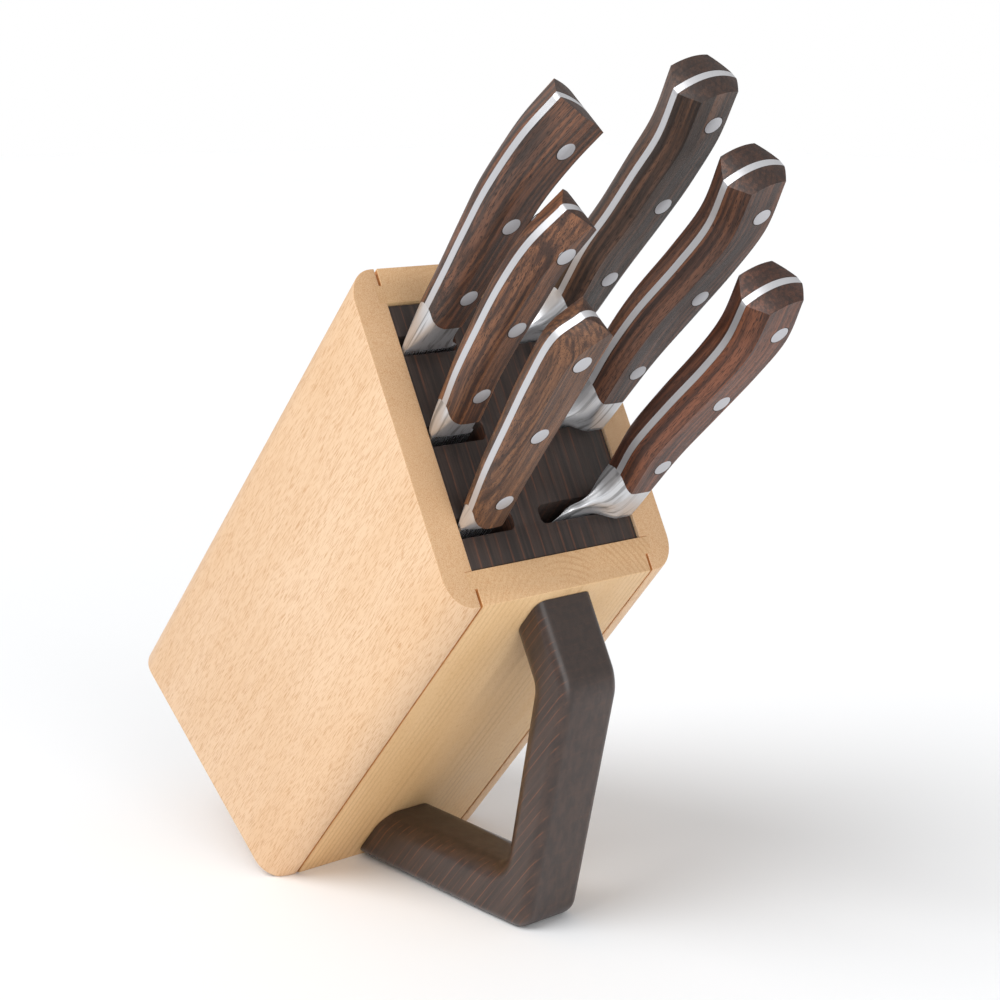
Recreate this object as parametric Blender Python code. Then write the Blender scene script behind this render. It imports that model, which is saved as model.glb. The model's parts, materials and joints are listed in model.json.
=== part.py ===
"""Knife block that leans forward on its carry handle, with six riveted full-tang knives.

The block is modelled upright in its own frame: x runs out through the front panel, which is x = 0,
y across the width and z up the axis that the knives slide along. One empty then leans the whole
object forward, until the edge under the front panel and the foot of the handle rest on z = 0.
Every named length is in millimetres, and new_object turns it into metres.
"""
import math

import bmesh
import bpy
from mathutils import Vector

MM = 0.001

# Block, outside
BLOCK_WIDTH = 118.0
BLOCK_DEPTH = 124.0
BACK_HEIGHT = 234.0
TOP_SLANT = math.radians(22.5)
LEAN = math.radians(39.8)
CORNER_RADIUS = 12.0
CORNER_STEPS = 5
REST_FLAT = 2.5

# Wall panels and the joint between them
SIDE_WALL = 15.0
PANEL_WALL = 13.0
TONGUE_THICKNESS = 6.5
TONGUE_LENGTH = 3.6
SHADOW_GAP = 1.2
JOINT_GAP = 0.3

# Floor of the block
FLOOR_THICKNESS = 12.0
FLOOR_RAISED = 6.0
FLOOR_TONGUE = 5.0

# Slotted insert, its battens and the lower guide
INSERT_THICKNESS = 24.0
INSERT_GAP = 0.5
INSERT_RECESS = 1.0
BATTEN_DEPTH = 6.0
BATTEN_HEIGHT = 14.0
BATTEN_END_GAP = 2.0
GUIDE_THICKNESS = 10.0
GUIDE_LEVEL = 108.0
GUIDE_TONGUE = 4.0
SLOT_WIDTH = 7.0
SLOT_PITCH = 33.5
SLOT_CORNER = 2.4
SLOT_CORNER_STEPS = 3
ROW_OFFSETS = {"back": -1, "middle": 0, "front": 1}

# Carry handle
HANDLE_WIDTH = 29.0
HANDLE_TOP_DROP = 4.2
HANDLE_ARM = 21.0
HANDLE_GRIP_TOP = 21.5
HANDLE_GRIP_FOOT = 19.0
HANDLE_FOOT_ARM = 23.0
HANDLE_KNEE_REACH = 34.0
HANDLE_FOOT_REACH = 109.0
HANDLE_FOOT_PAD = 26.0
HANDLE_FOOT_RISE = 2.0
PAD_END_SHARE = 0.25
OUTER_ROUNDING = 4.5
INNER_ROUNDING = 8.0
ROUNDING_STEPS = 3
KNEE_RADIUS = 18.0
FOOT_RADIUS = 9.0
INNER_RADIUS = 8.0
BEND_STEPS = 6

# Screws and dowels that hold the carry handle
SCREW_SHANK = 4.5
SCREW_HEAD = 9.0
SCREW_HEAD_HEIGHT = 3.0
SCREW_BITE = 16.0
DOWEL_DIAMETER = 6.0
DOWEL_SPREAD = 8.0
DOWEL_IN_PANEL = 8.0
DOWEL_IN_HANDLE = 12.0
PIN_GAP = 0.3
UPPER_FIXING = 0.55
LOWER_FIXING = 0.66
PIN_SIDES = 12

# What all the knives share
TANG_HALF = 1.4
SCALE_GAP = 0.3
FLANK = 6.5
RIVET_DIAMETER = 7.5
RIVET_GAP = 0.2
HOLE_OVERRUN = 1.0
SPINE_HALF = 1.2
EDGE_HALF = 0.15
BLADE_SIDE_GAP = 0.6
BLADE_SLOT_GAP = 0.4
HANDLE_STATIONS = 8
BLADE_STATIONS = (0.0, 0.3, 0.6, 0.85, 1.0)
TIP_HALF = 0.5
TIP_HEIGHT = 1.6
GRIND_SHARE = 0.3

# Sweep from the bolster to the heel of the blade: share of the bolster's height, share of the way
# out to the heel, half thickness
SWEEP = ((0.08, 0.62, SPINE_HALF), (0.25, 0.34, 2.6), (0.55, 0.12, 5.2))
SWEEP_FLANK = 5.0
SWEEP_EDGE_GROWTH = 8.0

# Where the half cross-section of a handle passes: share of the flank, share of the thickness
FLANK_START = 0.22
FLANK_START_RISE = 0.55

HALF_WIDTH = BLOCK_WIDTH / 2
INNER_HALF = HALF_WIDTH - SIDE_WALL
FRONT_HEIGHT = BACK_HEIGHT - BLOCK_DEPTH * math.tan(TOP_SLANT)

# Slots and knives are drawn for this width from the middle of the block to a side wall. In a wider or
# narrower block they grow or shrink across with it.
DRAWN_INNER_HALF = 44.0
ACROSS_SCALE = INNER_HALF / DRAWN_INNER_HALF
WIDE_SLOT_END = -2.6 * ACROSS_SCALE
NARROW_SLOT_END = 16.2 * ACROSS_SCALE
HANDLE_FLANK = FLANK * ACROSS_SCALE
BACK_FACE = -BLOCK_DEPTH
ROW_CENTRE = -BLOCK_DEPTH / 2

# Each knife: side of the block, row, whether its blade lies against the front of the slot, blade length
# and height, how late the cutting edge rises, how far the spine drops at the tip, half thickness at the
# two ends of the handle, how far the heel of the blade reaches into the slot, and the rivets' places
# as shares of the handle's length and of its width. The handle's outline is given as (height above the
# top of the block, distance from the block's middle) along the cutting-edge side and along the spine
# side, from the bolster to the pommel.
KNIVES = {
    "paring_knife": dict(
        side=-1, row="front", offset=0, length=85.0, height=19.0, belly=3.0, tip_drop=5.0,
        half_thickness=(6.8, 8.8), heel=0.0, rivets=(0.12, 0.47, 0.82), rivet_line=0.5,
        edge_side=((11, 27), (24, 30), (45, 32.5), (66, 34.6), (88, 37), (104, 41)),
        spine_side=((11, 44.6), (33, 50), (57, 54.2), (80, 58), (102, 60), (111.5, 55)),
    ),
    "utility_knife": dict(
        side=-1, row="middle", offset=0, length=120.0, height=21.0, belly=4.0, tip_drop=2.0,
        half_thickness=(7.0, 9.3), heel=0.0, rivets=(0.13, 0.5, 0.86), rivet_line=0.5,
        edge_side=((18, 28), (34, 32), (52, 34), (72, 35), (92, 36), (110, 34)),
        spine_side=((18, 46.8), (35, 50.6), (55, 53.2), (78, 55.3), (98, 54), (115, 47)),
    ),
    "slicing_knife": dict(
        side=-1, row="back", offset=1, length=150.0, height=26.0, belly=5.0, tip_drop=2.0,
        half_thickness=(7.6, 10.0), heel=0.0, rivets=(0.11, 0.48, 0.85), rivet_line=0.5,
        edge_side=((23, 26), (45, 25), (64, 25), (83, 24.8), (99, 22), (112.5, 18)),
        spine_side=((23, 44.6), (41, 46), (61, 47.8), (82, 49), (105, 46.8), (123.5, 40.7)),
    ),
    "santoku_knife": dict(
        side=1, row="front", offset=1, length=170.0, height=43.0, belly=3.5, tip_drop=22.0,
        half_thickness=(8.0, 10.0), heel=12.0, rivets=(0.115, 0.475, 0.86), rivet_line=0.55,
        edge_side=((21.5, 24), (38, 21.6), (58, 25), (78, 30.2), (94, 31.6), (112.6, 26.6)),
        spine_side=((21.5, 45), (40, 47), (60, 51.5), (82, 56), (102, 57), (122, 49.5)),
    ),
    "carving_knife": dict(
        side=1, row="middle", offset=1, length=185.0, height=32.0, belly=4.0, tip_drop=3.0,
        half_thickness=(8.0, 10.0), heel=10.0, rivets=(0.12, 0.495, 0.88), rivet_line=0.55,
        edge_side=((22.5, 24), (42, 22), (62, 23), (84, 28), (104, 30.4), (125.2, 24.5)),
        spine_side=((22.5, 45), (44, 47), (66, 51), (90, 55), (112, 55.5), (134, 48)),
    ),
    "chefs_knife": dict(
        side=1, row="back", offset=1, length=200.0, height=45.0, belly=2.2, tip_drop=3.0,
        half_thickness=(8.0, 10.0), heel=14.0, rivets=(0.13, 0.505, 0.885), rivet_line=0.55,
        edge_side=((24, 22), (48, 19.3), (66, 20.6), (85, 20.8), (104, 21), (124.8, 15.6)),
        spine_side=((24, 44.6), (44, 45.6), (66, 47.5), (88, 48.5), (112, 46.8), (132, 41)),
    ),
}


def clear_scene():
    for item in list(bpy.data.objects):
        bpy.data.objects.remove(item, do_unlink=True)


def material(name, colour, roughness, metallic=0.0):
    made = bpy.data.materials.new(name)
    made.use_nodes = True
    shader = made.node_tree.nodes["Principled BSDF"]
    shader.inputs["Base Color"].default_value = (*colour, 1.0)
    shader.inputs["Roughness"].default_value = roughness
    shader.inputs["Metallic"].default_value = metallic
    made.diffuse_color = (*colour, 1.0)
    return made


def new_object(name, mesh_builder, finish=None, parent=None):
    """Turns a bmesh in millimetres into an object in metres, shaded smooth between sharp edges."""
    bmesh.ops.recalc_face_normals(mesh_builder, faces=mesh_builder.faces)
    bmesh.ops.scale(mesh_builder, vec=(MM, MM, MM), verts=mesh_builder.verts)
    mesh = bpy.data.meshes.new(name)
    mesh_builder.to_mesh(mesh)
    mesh_builder.free()
    mesh.shade_smooth()
    mesh.set_sharp_from_angle(angle=math.radians(35))
    made = bpy.data.objects.new(name, mesh)
    bpy.context.scene.collection.objects.link(made)
    made.parent = parent
    if finish:
        made.data.materials.append(finish)
    return made


def new_cutter(name, mesh_builder, parent):
    cutter = new_object(name, mesh_builder, parent=parent)
    cutter.hide_render = True
    cutter.display_type = "WIRE"
    return cutter


def cut(target, cutter):
    step = target.modifiers.new("cut_" + cutter.name, "BOOLEAN")
    step.operation = "DIFFERENCE"
    step.solver = "EXACT"
    step.object = cutter


def loft(rings):
    """Closed skin through rings that all hold the same number of points."""
    made = bmesh.new()
    rows = [[made.verts.new(point) for point in ring] for ring in rings]
    count = len(rows[0])
    for lower, upper in zip(rows, rows[1:]):
        for here in range(count):
            after = (here + 1) % count
            made.faces.new((lower[here], lower[after], upper[after], upper[here]))
    made.faces.new(rows[0][::-1])
    made.faces.new(rows[-1])
    return made


def prism(outline, low, high):
    """Solid over an outline of (x, y) points. low and high give z from x, so either end can slant."""
    return loft([[(x, y, level(x)) for x, y in outline] for level in (low, high)])


def box(low, high):
    (x0, y0, z0), (x1, y1, z1) = low, high
    return loft([[(x0, y0, z), (x1, y0, z), (x1, y1, z), (x0, y1, z)] for z in (z0, z1)])


def add_pin(made, radii_at, y, z):
    """Adds a round pin along x to a bmesh, from (x, radius) pairs."""
    turns = [2 * math.pi * step / PIN_SIDES for step in range(PIN_SIDES)]
    rows = []
    for x, radius in radii_at:
        ring = [(x, y + radius * math.cos(turn), z + radius * math.sin(turn)) for turn in turns]
        rows.append([made.verts.new(point) for point in ring])
    for lower, upper in zip(rows, rows[1:]):
        for here in range(PIN_SIDES):
            after = (here + 1) % PIN_SIDES
            made.faces.new((lower[here], lower[after], upper[after], upper[here]))
    made.faces.new(rows[0][::-1])
    made.faces.new(rows[-1])


def pin(radii_at, y, z):
    made = bmesh.new()
    add_pin(made, radii_at, y, z)
    return made


def level(height):
    return lambda x: height


def below_top(distance):
    """Height at x of a plane that runs parallel to the block's slanted top."""
    return lambda x: FRONT_HEIGHT - x * math.tan(TOP_SLANT) - distance


def trim_rest_flat(made):
    """Cuts the level flat along the edge that the block stands on."""
    normal = Vector((math.sin(LEAN), 0.0, -math.cos(LEAN)))
    on_plane = Vector((-REST_FLAT * math.cos(LEAN), 0.0, 0.0))
    parts = list(made.verts) + list(made.edges) + list(made.faces)
    found = bmesh.ops.bisect_plane(made, geom=parts, plane_co=on_plane, plane_no=normal, clear_outer=True)
    edges = [item for item in found["geom_cut"] if isinstance(item, bmesh.types.BMEdge)]
    bmesh.ops.holes_fill(made, edges=edges)


def arc(centre, radius, start, end, steps):
    for step in range(steps + 1):
        turn = start + (end - start) * step / steps
        yield centre[0] + radius * math.cos(turn), centre[1] + radius * math.sin(turn)


def corner_arc(before, corner, after, radius):
    """Points of the arc that rounds a corner between two straight lines."""
    to_last = (before - corner).normalized()
    to_next = (after - corner).normalized()
    half_angle = to_last.angle(to_next) / 2
    centre = corner + (to_last + to_next).normalized() * radius / math.sin(half_angle)
    first = corner + to_last * radius / math.tan(half_angle) - centre
    last = corner + to_next * radius / math.tan(half_angle) - centre
    turn = first.angle_signed(last)
    points = []
    for step in range(BEND_STEPS + 1):
        angle = -turn * step / BEND_STEPS
        x = first.x * math.cos(angle) - first.y * math.sin(angle)
        y = first.x * math.sin(angle) + first.y * math.cos(angle)
        points.append(centre + Vector((x, y)))
    return points


def side_panel_outline(side):
    """Seen from above: rounded outer corners, and a groove and a lip for the tongue at both ends."""
    front_inner = -PANEL_WALL
    groove_out = front_inner + TONGUE_THICKNESS + JOINT_GAP
    groove_in = front_inner - JOINT_GAP
    groove_floor = INNER_HALF + TONGUE_LENGTH + JOINT_GAP
    lip = INNER_HALF + SHADOW_GAP
    middle = BACK_FACE / 2
    front = [(groove_in, INNER_HALF), (groove_in, groove_floor), (groove_out, groove_floor)]
    front += [(groove_out, lip), (0.0, lip)]
    centre = (-CORNER_RADIUS, HALF_WIDTH - CORNER_RADIUS)
    front += list(arc(centre, CORNER_RADIUS, 0.0, math.pi / 2, CORNER_STEPS))
    back = [(2 * middle - x, y) for x, y in reversed(front)]
    return [(x, side * y) for x, y in front + back]


def wall_panel_outline(outer, inward):
    """Front or back panel from above. outer is its outside face, inward the way to the hollow."""
    inner = outer + inward * PANEL_WALL
    step = inner - inward * TONGUE_THICKNESS
    tip = INNER_HALF + TONGUE_LENGTH
    half = [(outer, INNER_HALF), (step, INNER_HALF), (step, tip), (inner, tip)]
    return half + [(x, -y) for x, y in reversed(half)]


def across(points):
    """Outline points of a knife, with their distances from the middle fitted to this block."""
    return [(height, distance * ACROSS_SCALE) for height, distance in points]


def row_x(row):
    return ROW_CENTRE + SLOT_PITCH * ROW_OFFSETS[row]


def slotted_outline(back, front, half_width):
    """Plate from above with a slot for each knife, open at the side and with two rounded corners."""
    corner_x = SLOT_WIDTH / 2 - SLOT_CORNER
    quarter = math.pi / 2
    outline = []
    for side, inner_end in ((1, WIDE_SLOT_END), (-1, NARROW_SLOT_END)):
        rows = ("front", "middle", "back") if side > 0 else ("back", "middle", "front")
        outline.append((front if side > 0 else back, side * half_width))
        for row in rows:
            y = side * (inner_end + SLOT_CORNER)
            start = 0.0 if side > 0 else math.pi
            outline.append((row_x(row) + side * SLOT_WIDTH / 2, side * half_width))
            near, far = (row_x(row) + side * corner_x, y), (row_x(row) - side * corner_x, y)
            outline += list(arc(near, SLOT_CORNER, start, start - quarter, SLOT_CORNER_STEPS))
            outline += list(arc(far, SLOT_CORNER, start - quarter, start - 2 * quarter, SLOT_CORNER_STEPS))
            outline.append((row_x(row) - side * SLOT_WIDTH / 2, side * half_width))
        outline.append((back if side > 0 else front, side * half_width))
    return outline


def build_block(lean, beech, dark_beech, inner_beech):
    floor_low = (BACK_FACE + PANEL_WALL - FLOOR_TONGUE, -INNER_HALF - FLOOR_TONGUE, FLOOR_RAISED)
    floor_high = (-PANEL_WALL + FLOOR_TONGUE, INNER_HALF + FLOOR_TONGUE, FLOOR_RAISED + FLOOR_THICKNESS)
    new_object("bottom_panel", box(floor_low, floor_high), inner_beech, lean)
    grown_low = [value - JOINT_GAP for value in floor_low]
    grown_high = [value + JOINT_GAP for value in floor_high]
    floor_groove = new_cutter("floor_groove", box(grown_low, grown_high), lean)

    guide_back = BACK_FACE + PANEL_WALL - GUIDE_TONGUE
    guide_front = -PANEL_WALL + GUIDE_TONGUE
    guide_outline = slotted_outline(guide_back, guide_front, INNER_HALF - INSERT_GAP)
    guide_top = GUIDE_LEVEL + GUIDE_THICKNESS
    guide = prism(guide_outline, level(GUIDE_LEVEL), level(guide_top))
    new_object("blade_guide", guide, inner_beech, lean)
    guide_groove = new_cutter("guide_groove", box(
        (guide_back - JOINT_GAP, -HALF_WIDTH, GUIDE_LEVEL - JOINT_GAP),
        (guide_front + JOINT_GAP, HALF_WIDTH, guide_top + JOINT_GAP)), lean)

    for name, side in (("left_side_panel", -1), ("right_side_panel", 1)):
        made = prism(side_panel_outline(side), level(0.0), below_top(0.0))
        trim_rest_flat(made)
        cut(new_object(name, made, beech, lean), floor_groove)
    panels = []
    for name, outer, inward in (("front_panel", 0.0, -1), ("back_panel", BACK_FACE, 1)):
        made = prism(wall_panel_outline(outer, inward), level(0.0), below_top(0.0))
        if outer == 0.0:
            trim_rest_flat(made)
        panel = new_object(name, made, beech, lean)
        cut(panel, floor_groove)
        cut(panel, guide_groove)
        panels.append(panel)

    insert_back = BACK_FACE + PANEL_WALL + INSERT_GAP
    insert_front = -PANEL_WALL - INSERT_GAP
    insert_outline = slotted_outline(insert_back, insert_front, INNER_HALF - INSERT_GAP)
    insert_bottom = INSERT_RECESS + INSERT_THICKNESS
    insert = prism(insert_outline, below_top(insert_bottom), below_top(INSERT_RECESS))
    new_object("slot_insert", insert, dark_beech, lean)

    batten_half = INNER_HALF - BATTEN_END_GAP
    batten_top = insert_bottom + JOINT_GAP
    inner_front = -PANEL_WALL - JOINT_GAP
    inner_back = BACK_FACE + PANEL_WALL + JOINT_GAP
    places = {
        "insert_batten_front": (inner_front - BATTEN_DEPTH, inner_front),
        "insert_batten_back": (inner_back, inner_back + BATTEN_DEPTH),
    }
    for name, (low, high) in places.items():
        outline = [(low, -batten_half), (high, -batten_half), (high, batten_half), (low, batten_half)]
        batten = prism(outline, below_top(batten_top + BATTEN_HEIGHT), below_top(batten_top))
        new_object(name, batten, inner_beech, lean)
    return panels[0]


def meet(point, direction, other, other_direction):
    """Where two lines in the x-z plane cross."""
    cross = direction.x * other_direction.y - direction.y * other_direction.x
    along = other - point
    reach = (along.x * other_direction.y - along.y * other_direction.x) / cross
    return point + direction * reach


def square_to(direction):
    """The way into the handle from a line that runs round it clockwise."""
    return Vector((direction.y, -direction.x))


def handle_lines():
    """Outer and inner line of the carry handle in the x-z plane, clockwise from its top at the panel.

    Both hold the same number of points, so that each pair is one cross-section of the handle.
    """
    table = Vector((math.cos(LEAN), math.sin(LEAN)))
    table_start = Vector((-REST_FLAT * math.cos(LEAN) / 2, REST_FLAT * math.sin(LEAN) / 2))
    top_way = Vector((math.cos(TOP_SLANT), -math.sin(TOP_SLANT)))
    wall = Vector((JOINT_GAP, 0.0))
    wall_way = Vector((0.0, 1.0))
    top_start = Vector((0.0, FRONT_HEIGHT - HANDLE_TOP_DROP))

    knee = top_start + top_way * HANDLE_KNEE_REACH / math.cos(TOP_SLANT)
    foot = table_start + table * HANDLE_FOOT_REACH
    pad_end = foot - table * HANDLE_FOOT_PAD
    heel = table_start + square_to(-table) * HANDLE_FOOT_RISE
    under_way = (heel - pad_end).normalized()
    grip_way = (foot - knee).normalized()
    arm_inside = top_start + square_to(top_way) * HANDLE_ARM
    grip_inside = knee + square_to(grip_way) * HANDLE_GRIP_TOP
    grip_inside_way = foot + square_to(grip_way) * HANDLE_GRIP_FOOT - grip_inside
    foot_arm_inside = pad_end + square_to(under_way) * HANDLE_FOOT_ARM
    knee_inside = meet(arm_inside, top_way, grip_inside, grip_inside_way)
    foot_inside = meet(foot_arm_inside, under_way, grip_inside, grip_inside_way)

    outer = [meet(top_start, top_way, wall, wall_way)]
    outer += corner_arc(top_start, knee, foot, KNEE_RADIUS)
    outer += corner_arc(knee, foot, pad_end, FOOT_RADIUS)
    outer += [pad_end, meet(pad_end, under_way, wall, wall_way)]
    wall_inside = meet(foot_arm_inside, under_way, wall, wall_way)
    inner = [meet(arm_inside, top_way, wall, wall_way)]
    inner += corner_arc(arm_inside, knee_inside, foot_inside, INNER_RADIUS)
    inner += corner_arc(knee_inside, foot_inside, wall_inside, INNER_RADIUS)
    inner += [inner[-1].lerp(wall_inside, PAD_END_SHARE), wall_inside]
    return outer, inner


def handle_ring(outer, inner):
    """Rounded cross-section of the handle from one point on its outer line to one on its inner line."""
    depth = (inner - outer).length
    way = (inner - outer).normalized()
    half = HANDLE_WIDTH / 2
    quarter = math.pi / 2
    corners = (
        (OUTER_ROUNDING, OUTER_ROUNDING, half - OUTER_ROUNDING, 0),
        (INNER_ROUNDING, depth - INNER_ROUNDING, half - INNER_ROUNDING, 1),
        (INNER_ROUNDING, depth - INNER_ROUNDING, INNER_ROUNDING - half, 2),
        (OUTER_ROUNDING, OUTER_ROUNDING, OUTER_ROUNDING - half, 3),
    )
    ring = []
    for radius, inwards, y, turn in corners:
        for step in range(ROUNDING_STEPS + 1):
            angle = (turn + step / ROUNDING_STEPS - 2) * quarter
            spot = outer + way * (inwards + radius * math.cos(angle))
            ring.append((spot.x, y - radius * math.sin(angle), spot.y))
    return ring


def build_handle(lean, front_panel, dark_beech, steel, dowel_wood):
    outer, inner = handle_lines()
    rings = [handle_ring(*pair) for pair in zip(outer, inner)]
    handle = new_object("carry_handle", loft(rings), dark_beech, lean)

    arms = {
        "upper": outer[0].y + (inner[0].y - outer[0].y) * UPPER_FIXING,
        "lower": outer[-1].y + (inner[-1].y - outer[-1].y) * LOWER_FIXING,
    }
    holes = bmesh.new()
    head_back = -PANEL_WALL
    head_front = head_back + SCREW_HEAD_HEIGHT
    for arm, z in arms.items():
        screw = pin([
            (head_back + PIN_GAP, SCREW_HEAD / 2),
            (head_front, SCREW_HEAD / 2),
            (head_front, SCREW_SHANK / 2),
            (SCREW_BITE, SCREW_SHANK / 2),
        ], 0.0, z)
        new_object(f"handle_screw_{arm}", screw, steel, lean)
        add_pin(holes, [
            (head_back - PIN_GAP, SCREW_HEAD / 2 + PIN_GAP),
            (head_front + PIN_GAP, SCREW_HEAD / 2 + PIN_GAP),
            (head_front + PIN_GAP, SCREW_SHANK / 2 + PIN_GAP),
            (SCREW_BITE + PIN_GAP, SCREW_SHANK / 2 + PIN_GAP),
        ], 0.0, z)
        for side, y in (("left", -DOWEL_SPREAD), ("right", DOWEL_SPREAD)):
            radius = DOWEL_DIAMETER / 2
            dowel = pin([(-DOWEL_IN_PANEL, radius), (DOWEL_IN_HANDLE, radius)], y, z)
            new_object(f"handle_dowel_{arm}_{side}", dowel, dowel_wood, lean)
            ends = [(-DOWEL_IN_PANEL - PIN_GAP, radius + PIN_GAP),
                    (DOWEL_IN_HANDLE + PIN_GAP, radius + PIN_GAP)]
            add_pin(holes, ends, y, z)
    fixings = new_cutter("handle_fixings", holes, lean)
    cut(handle, fixings)
    cut(front_panel, fixings)


def along(points, share):
    """Point at a share of the way along a smooth line through the given points."""
    points = [Vector(point) for point in points]
    reach = share * (len(points) - 1)
    index = min(int(reach), len(points) - 2)
    part = reach - index
    start, end = points[index], points[index + 1]
    before = points[index - 1] if index else start * 2 - end
    after = points[index + 2] if index + 2 < len(points) else end * 2 - start
    way_in, way_out = (end - before) / 2, (after - start) / 2
    return (start * (2 * part**3 - 3 * part**2 + 1) + way_in * (part**3 - 2 * part**2 + part)
            + end * (3 * part**2 - 2 * part**3) + way_out * (part**3 - part**2))


def half_ring(edge, spine, inner, outer, flank):
    """Half a handle's cross-section, as (thickness, height, distance) points from edge to spine side."""
    span = spine - edge
    near, far = FLANK_START * flank, span.length - FLANK_START * flank
    shares = (0.0, near, flank, span.length - flank, far, span.length)
    shoulder = inner + (outer - inner) * FLANK_START_RISE
    widths = (inner, shoulder, outer, outer, shoulder, inner)
    way = span.normalized()
    points = []
    for width, share in zip(widths, shares):
        spot = edge + way * share
        points.append((width, spot.x, spot.y))
    return points


def full_ring(edge, spine, inner, outer, flank):
    half = half_ring(edge, spine, inner, outer, flank)
    return half + [(-width, t, h) for width, t, h in reversed(half)]


def placed(ring, side):
    """From (thickness, height, distance) to x, y, z about the knife's own empty."""
    return [(width, side * distance, height) for width, height, distance in ring]


def forging_rings(knife):
    """Cross-sections of blade, bolster and tang as one forging, from the tip up to the pommel."""
    spine_line = INNER_HALF - BLADE_SIDE_GAP
    length, height = knife["length"], knife["height"] * ACROSS_SCALE
    edge_side, spine_side = across(knife["edge_side"]), across(knife["spine_side"])
    start = -knife["heel"]
    rings = []
    for share in reversed(BLADE_STATIONS):
        t = start - share * (length + start)
        spine = spine_line - knife["tip_drop"] * share**3
        edge = spine_line - height * (1 - share ** knife["belly"])
        edge = min(edge, spine - TIP_HEIGHT)
        half = SPINE_HALF - (SPINE_HALF - TIP_HALF) * share
        low, high = Vector((t, edge)), Vector((t, spine))
        rings.append(full_ring(low, high, EDGE_HALF, half, (spine - edge) * GRIND_SHARE))
    edge_end, spine_end = Vector(edge_side[0]), Vector(spine_side[0])
    thick = knife["half_thickness"][0]
    for share, spread, half in SWEEP:
        t = share * edge_end.x
        heel_line = spine_line - height
        edge = edge_end.y + (heel_line - edge_end.y) * spread
        low, high = Vector((t, edge)), Vector((t, spine_line + (spine_end.y - spine_line) * share))
        rings.append(full_ring(low, high, EDGE_HALF * (1 + SWEEP_EDGE_GROWTH * share), half, SWEEP_FLANK))
    rings.append(full_ring(edge_end, spine_end, TANG_HALF, thick, HANDLE_FLANK))
    for station in range(HANDLE_STATIONS + 1):
        share = station / HANDLE_STATIONS
        low, high = along(edge_side, share), along(spine_side, share)
        rings.append(full_ring(low, high, TANG_HALF, TANG_HALF, HANDLE_FLANK))
    return [placed(ring, knife["side"]) for ring in rings]


def half_thickness(knife, share):
    thin, thick = knife["half_thickness"]
    return thin + (thick - thin) * share


def scale_rings(knife, face):
    rings = []
    edge_side, spine_side = across(knife["edge_side"]), across(knife["spine_side"])
    for station in range(HANDLE_STATIONS + 1):
        share = station / HANDLE_STATIONS
        low, high = along(edge_side, share), along(spine_side, share)
        if station == 0:
            low.x += SCALE_GAP
            high.x += SCALE_GAP
        half = half_ring(low, high, TANG_HALF + SCALE_GAP, half_thickness(knife, share), HANDLE_FLANK)
        rings.append(placed([(face * width, t, h) for width, t, h in half], knife["side"]))
    return rings


def build_knife(name, knife, lean, steel, wood, rivet_steel):
    row = row_x(knife["row"])
    play = SLOT_WIDTH / 2 - SPINE_HALF - BLADE_SLOT_GAP
    axis = bpy.data.objects.new(name + "_axis", None)
    bpy.context.scene.collection.objects.link(axis)
    axis.parent = lean
    x = row + knife["offset"] * play
    axis.location = (x * MM, 0.0, below_top(0.0)(x) * MM)

    pieces = [new_object(name + "_blade", loft(forging_rings(knife)), steel, axis)]
    for label, face in (("front", 1), ("back", -1)):
        scale = loft(scale_rings(knife, face))
        pieces.append(new_object(f"{name}_scale_{label}", scale, wood, axis))
    holes = bmesh.new()
    for number, share in enumerate(knife["rivets"], start=1):
        edge, spine = along(across(knife["edge_side"]), share), along(across(knife["spine_side"]), share)
        middle = edge + (spine - edge) * knife["rivet_line"]
        half = half_thickness(knife, share)
        radius = RIVET_DIAMETER / 2
        y, z = knife["side"] * middle.y, middle.x
        rivet = pin([(-half, radius), (half, radius)], y, z)
        new_object(f"{name}_rivet_{number}", rivet, rivet_steel, axis)
        reach = half + HOLE_OVERRUN
        add_pin(holes, [(-reach, radius + RIVET_GAP), (reach, radius + RIVET_GAP)], y, z)
    rivet_holes = new_cutter(name + "_rivet_holes", holes, axis)
    for piece in pieces:
        cut(piece, rivet_holes)


def main():
    clear_scene()
    beech = material("beech", (0.78, 0.58, 0.40), 0.55)
    inner_beech = material("inner_beech", (0.66, 0.47, 0.30), 0.65)
    dark_beech = material("thermo_beech", (0.045, 0.028, 0.020), 0.45)
    steel = material("satin_steel", (0.62, 0.62, 0.63), 0.3, 1.0)
    screw_steel = material("zinc_plated_steel", (0.55, 0.55, 0.52), 0.4, 1.0)
    rivet_steel = material("rivet_steel", (0.68, 0.68, 0.68), 0.25, 1.0)
    walnut = material("walnut", (0.10, 0.05, 0.03), 0.5)

    # The edge of the resting flat turns to z = 0, with the origin in the middle of the flat.
    middle = Vector((-REST_FLAT * math.cos(LEAN) / 2, 0.0, REST_FLAT * math.sin(LEAN) / 2)) * MM
    lean = bpy.data.objects.new("lean", None)
    bpy.context.scene.collection.objects.link(lean)
    lean.rotation_euler = (0.0, LEAN, 0.0)
    lean.location = (
        -(middle.x * math.cos(LEAN) + middle.z * math.sin(LEAN)),
        0.0,
        -(middle.z * math.cos(LEAN) - middle.x * math.sin(LEAN)),
    )
    front_panel = build_block(lean, beech, dark_beech, inner_beech)
    build_handle(lean, front_panel, dark_beech, screw_steel, inner_beech)
    for name, knife in KNIVES.items():
        build_knife(name, knife, lean, steel, walnut, rivet_steel)


main()
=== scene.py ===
# %% [markdown]
# # A leaning knife block with six riveted knives
# The real block is four oiled beech boards joined by tongues, with a dark slotted plate let into the
# top and a bent wooden handle that is also the foot it leans on. Six full-tang knives slide in it.
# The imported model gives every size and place. This script dresses it: finer boards, handle, knives
# and finishes, each made in the block's own upright frame in millimetres and then leant into place.

# %% Load the frame
import json
import math

import bmesh
import bpy
from mathutils import Matrix, Vector


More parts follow.
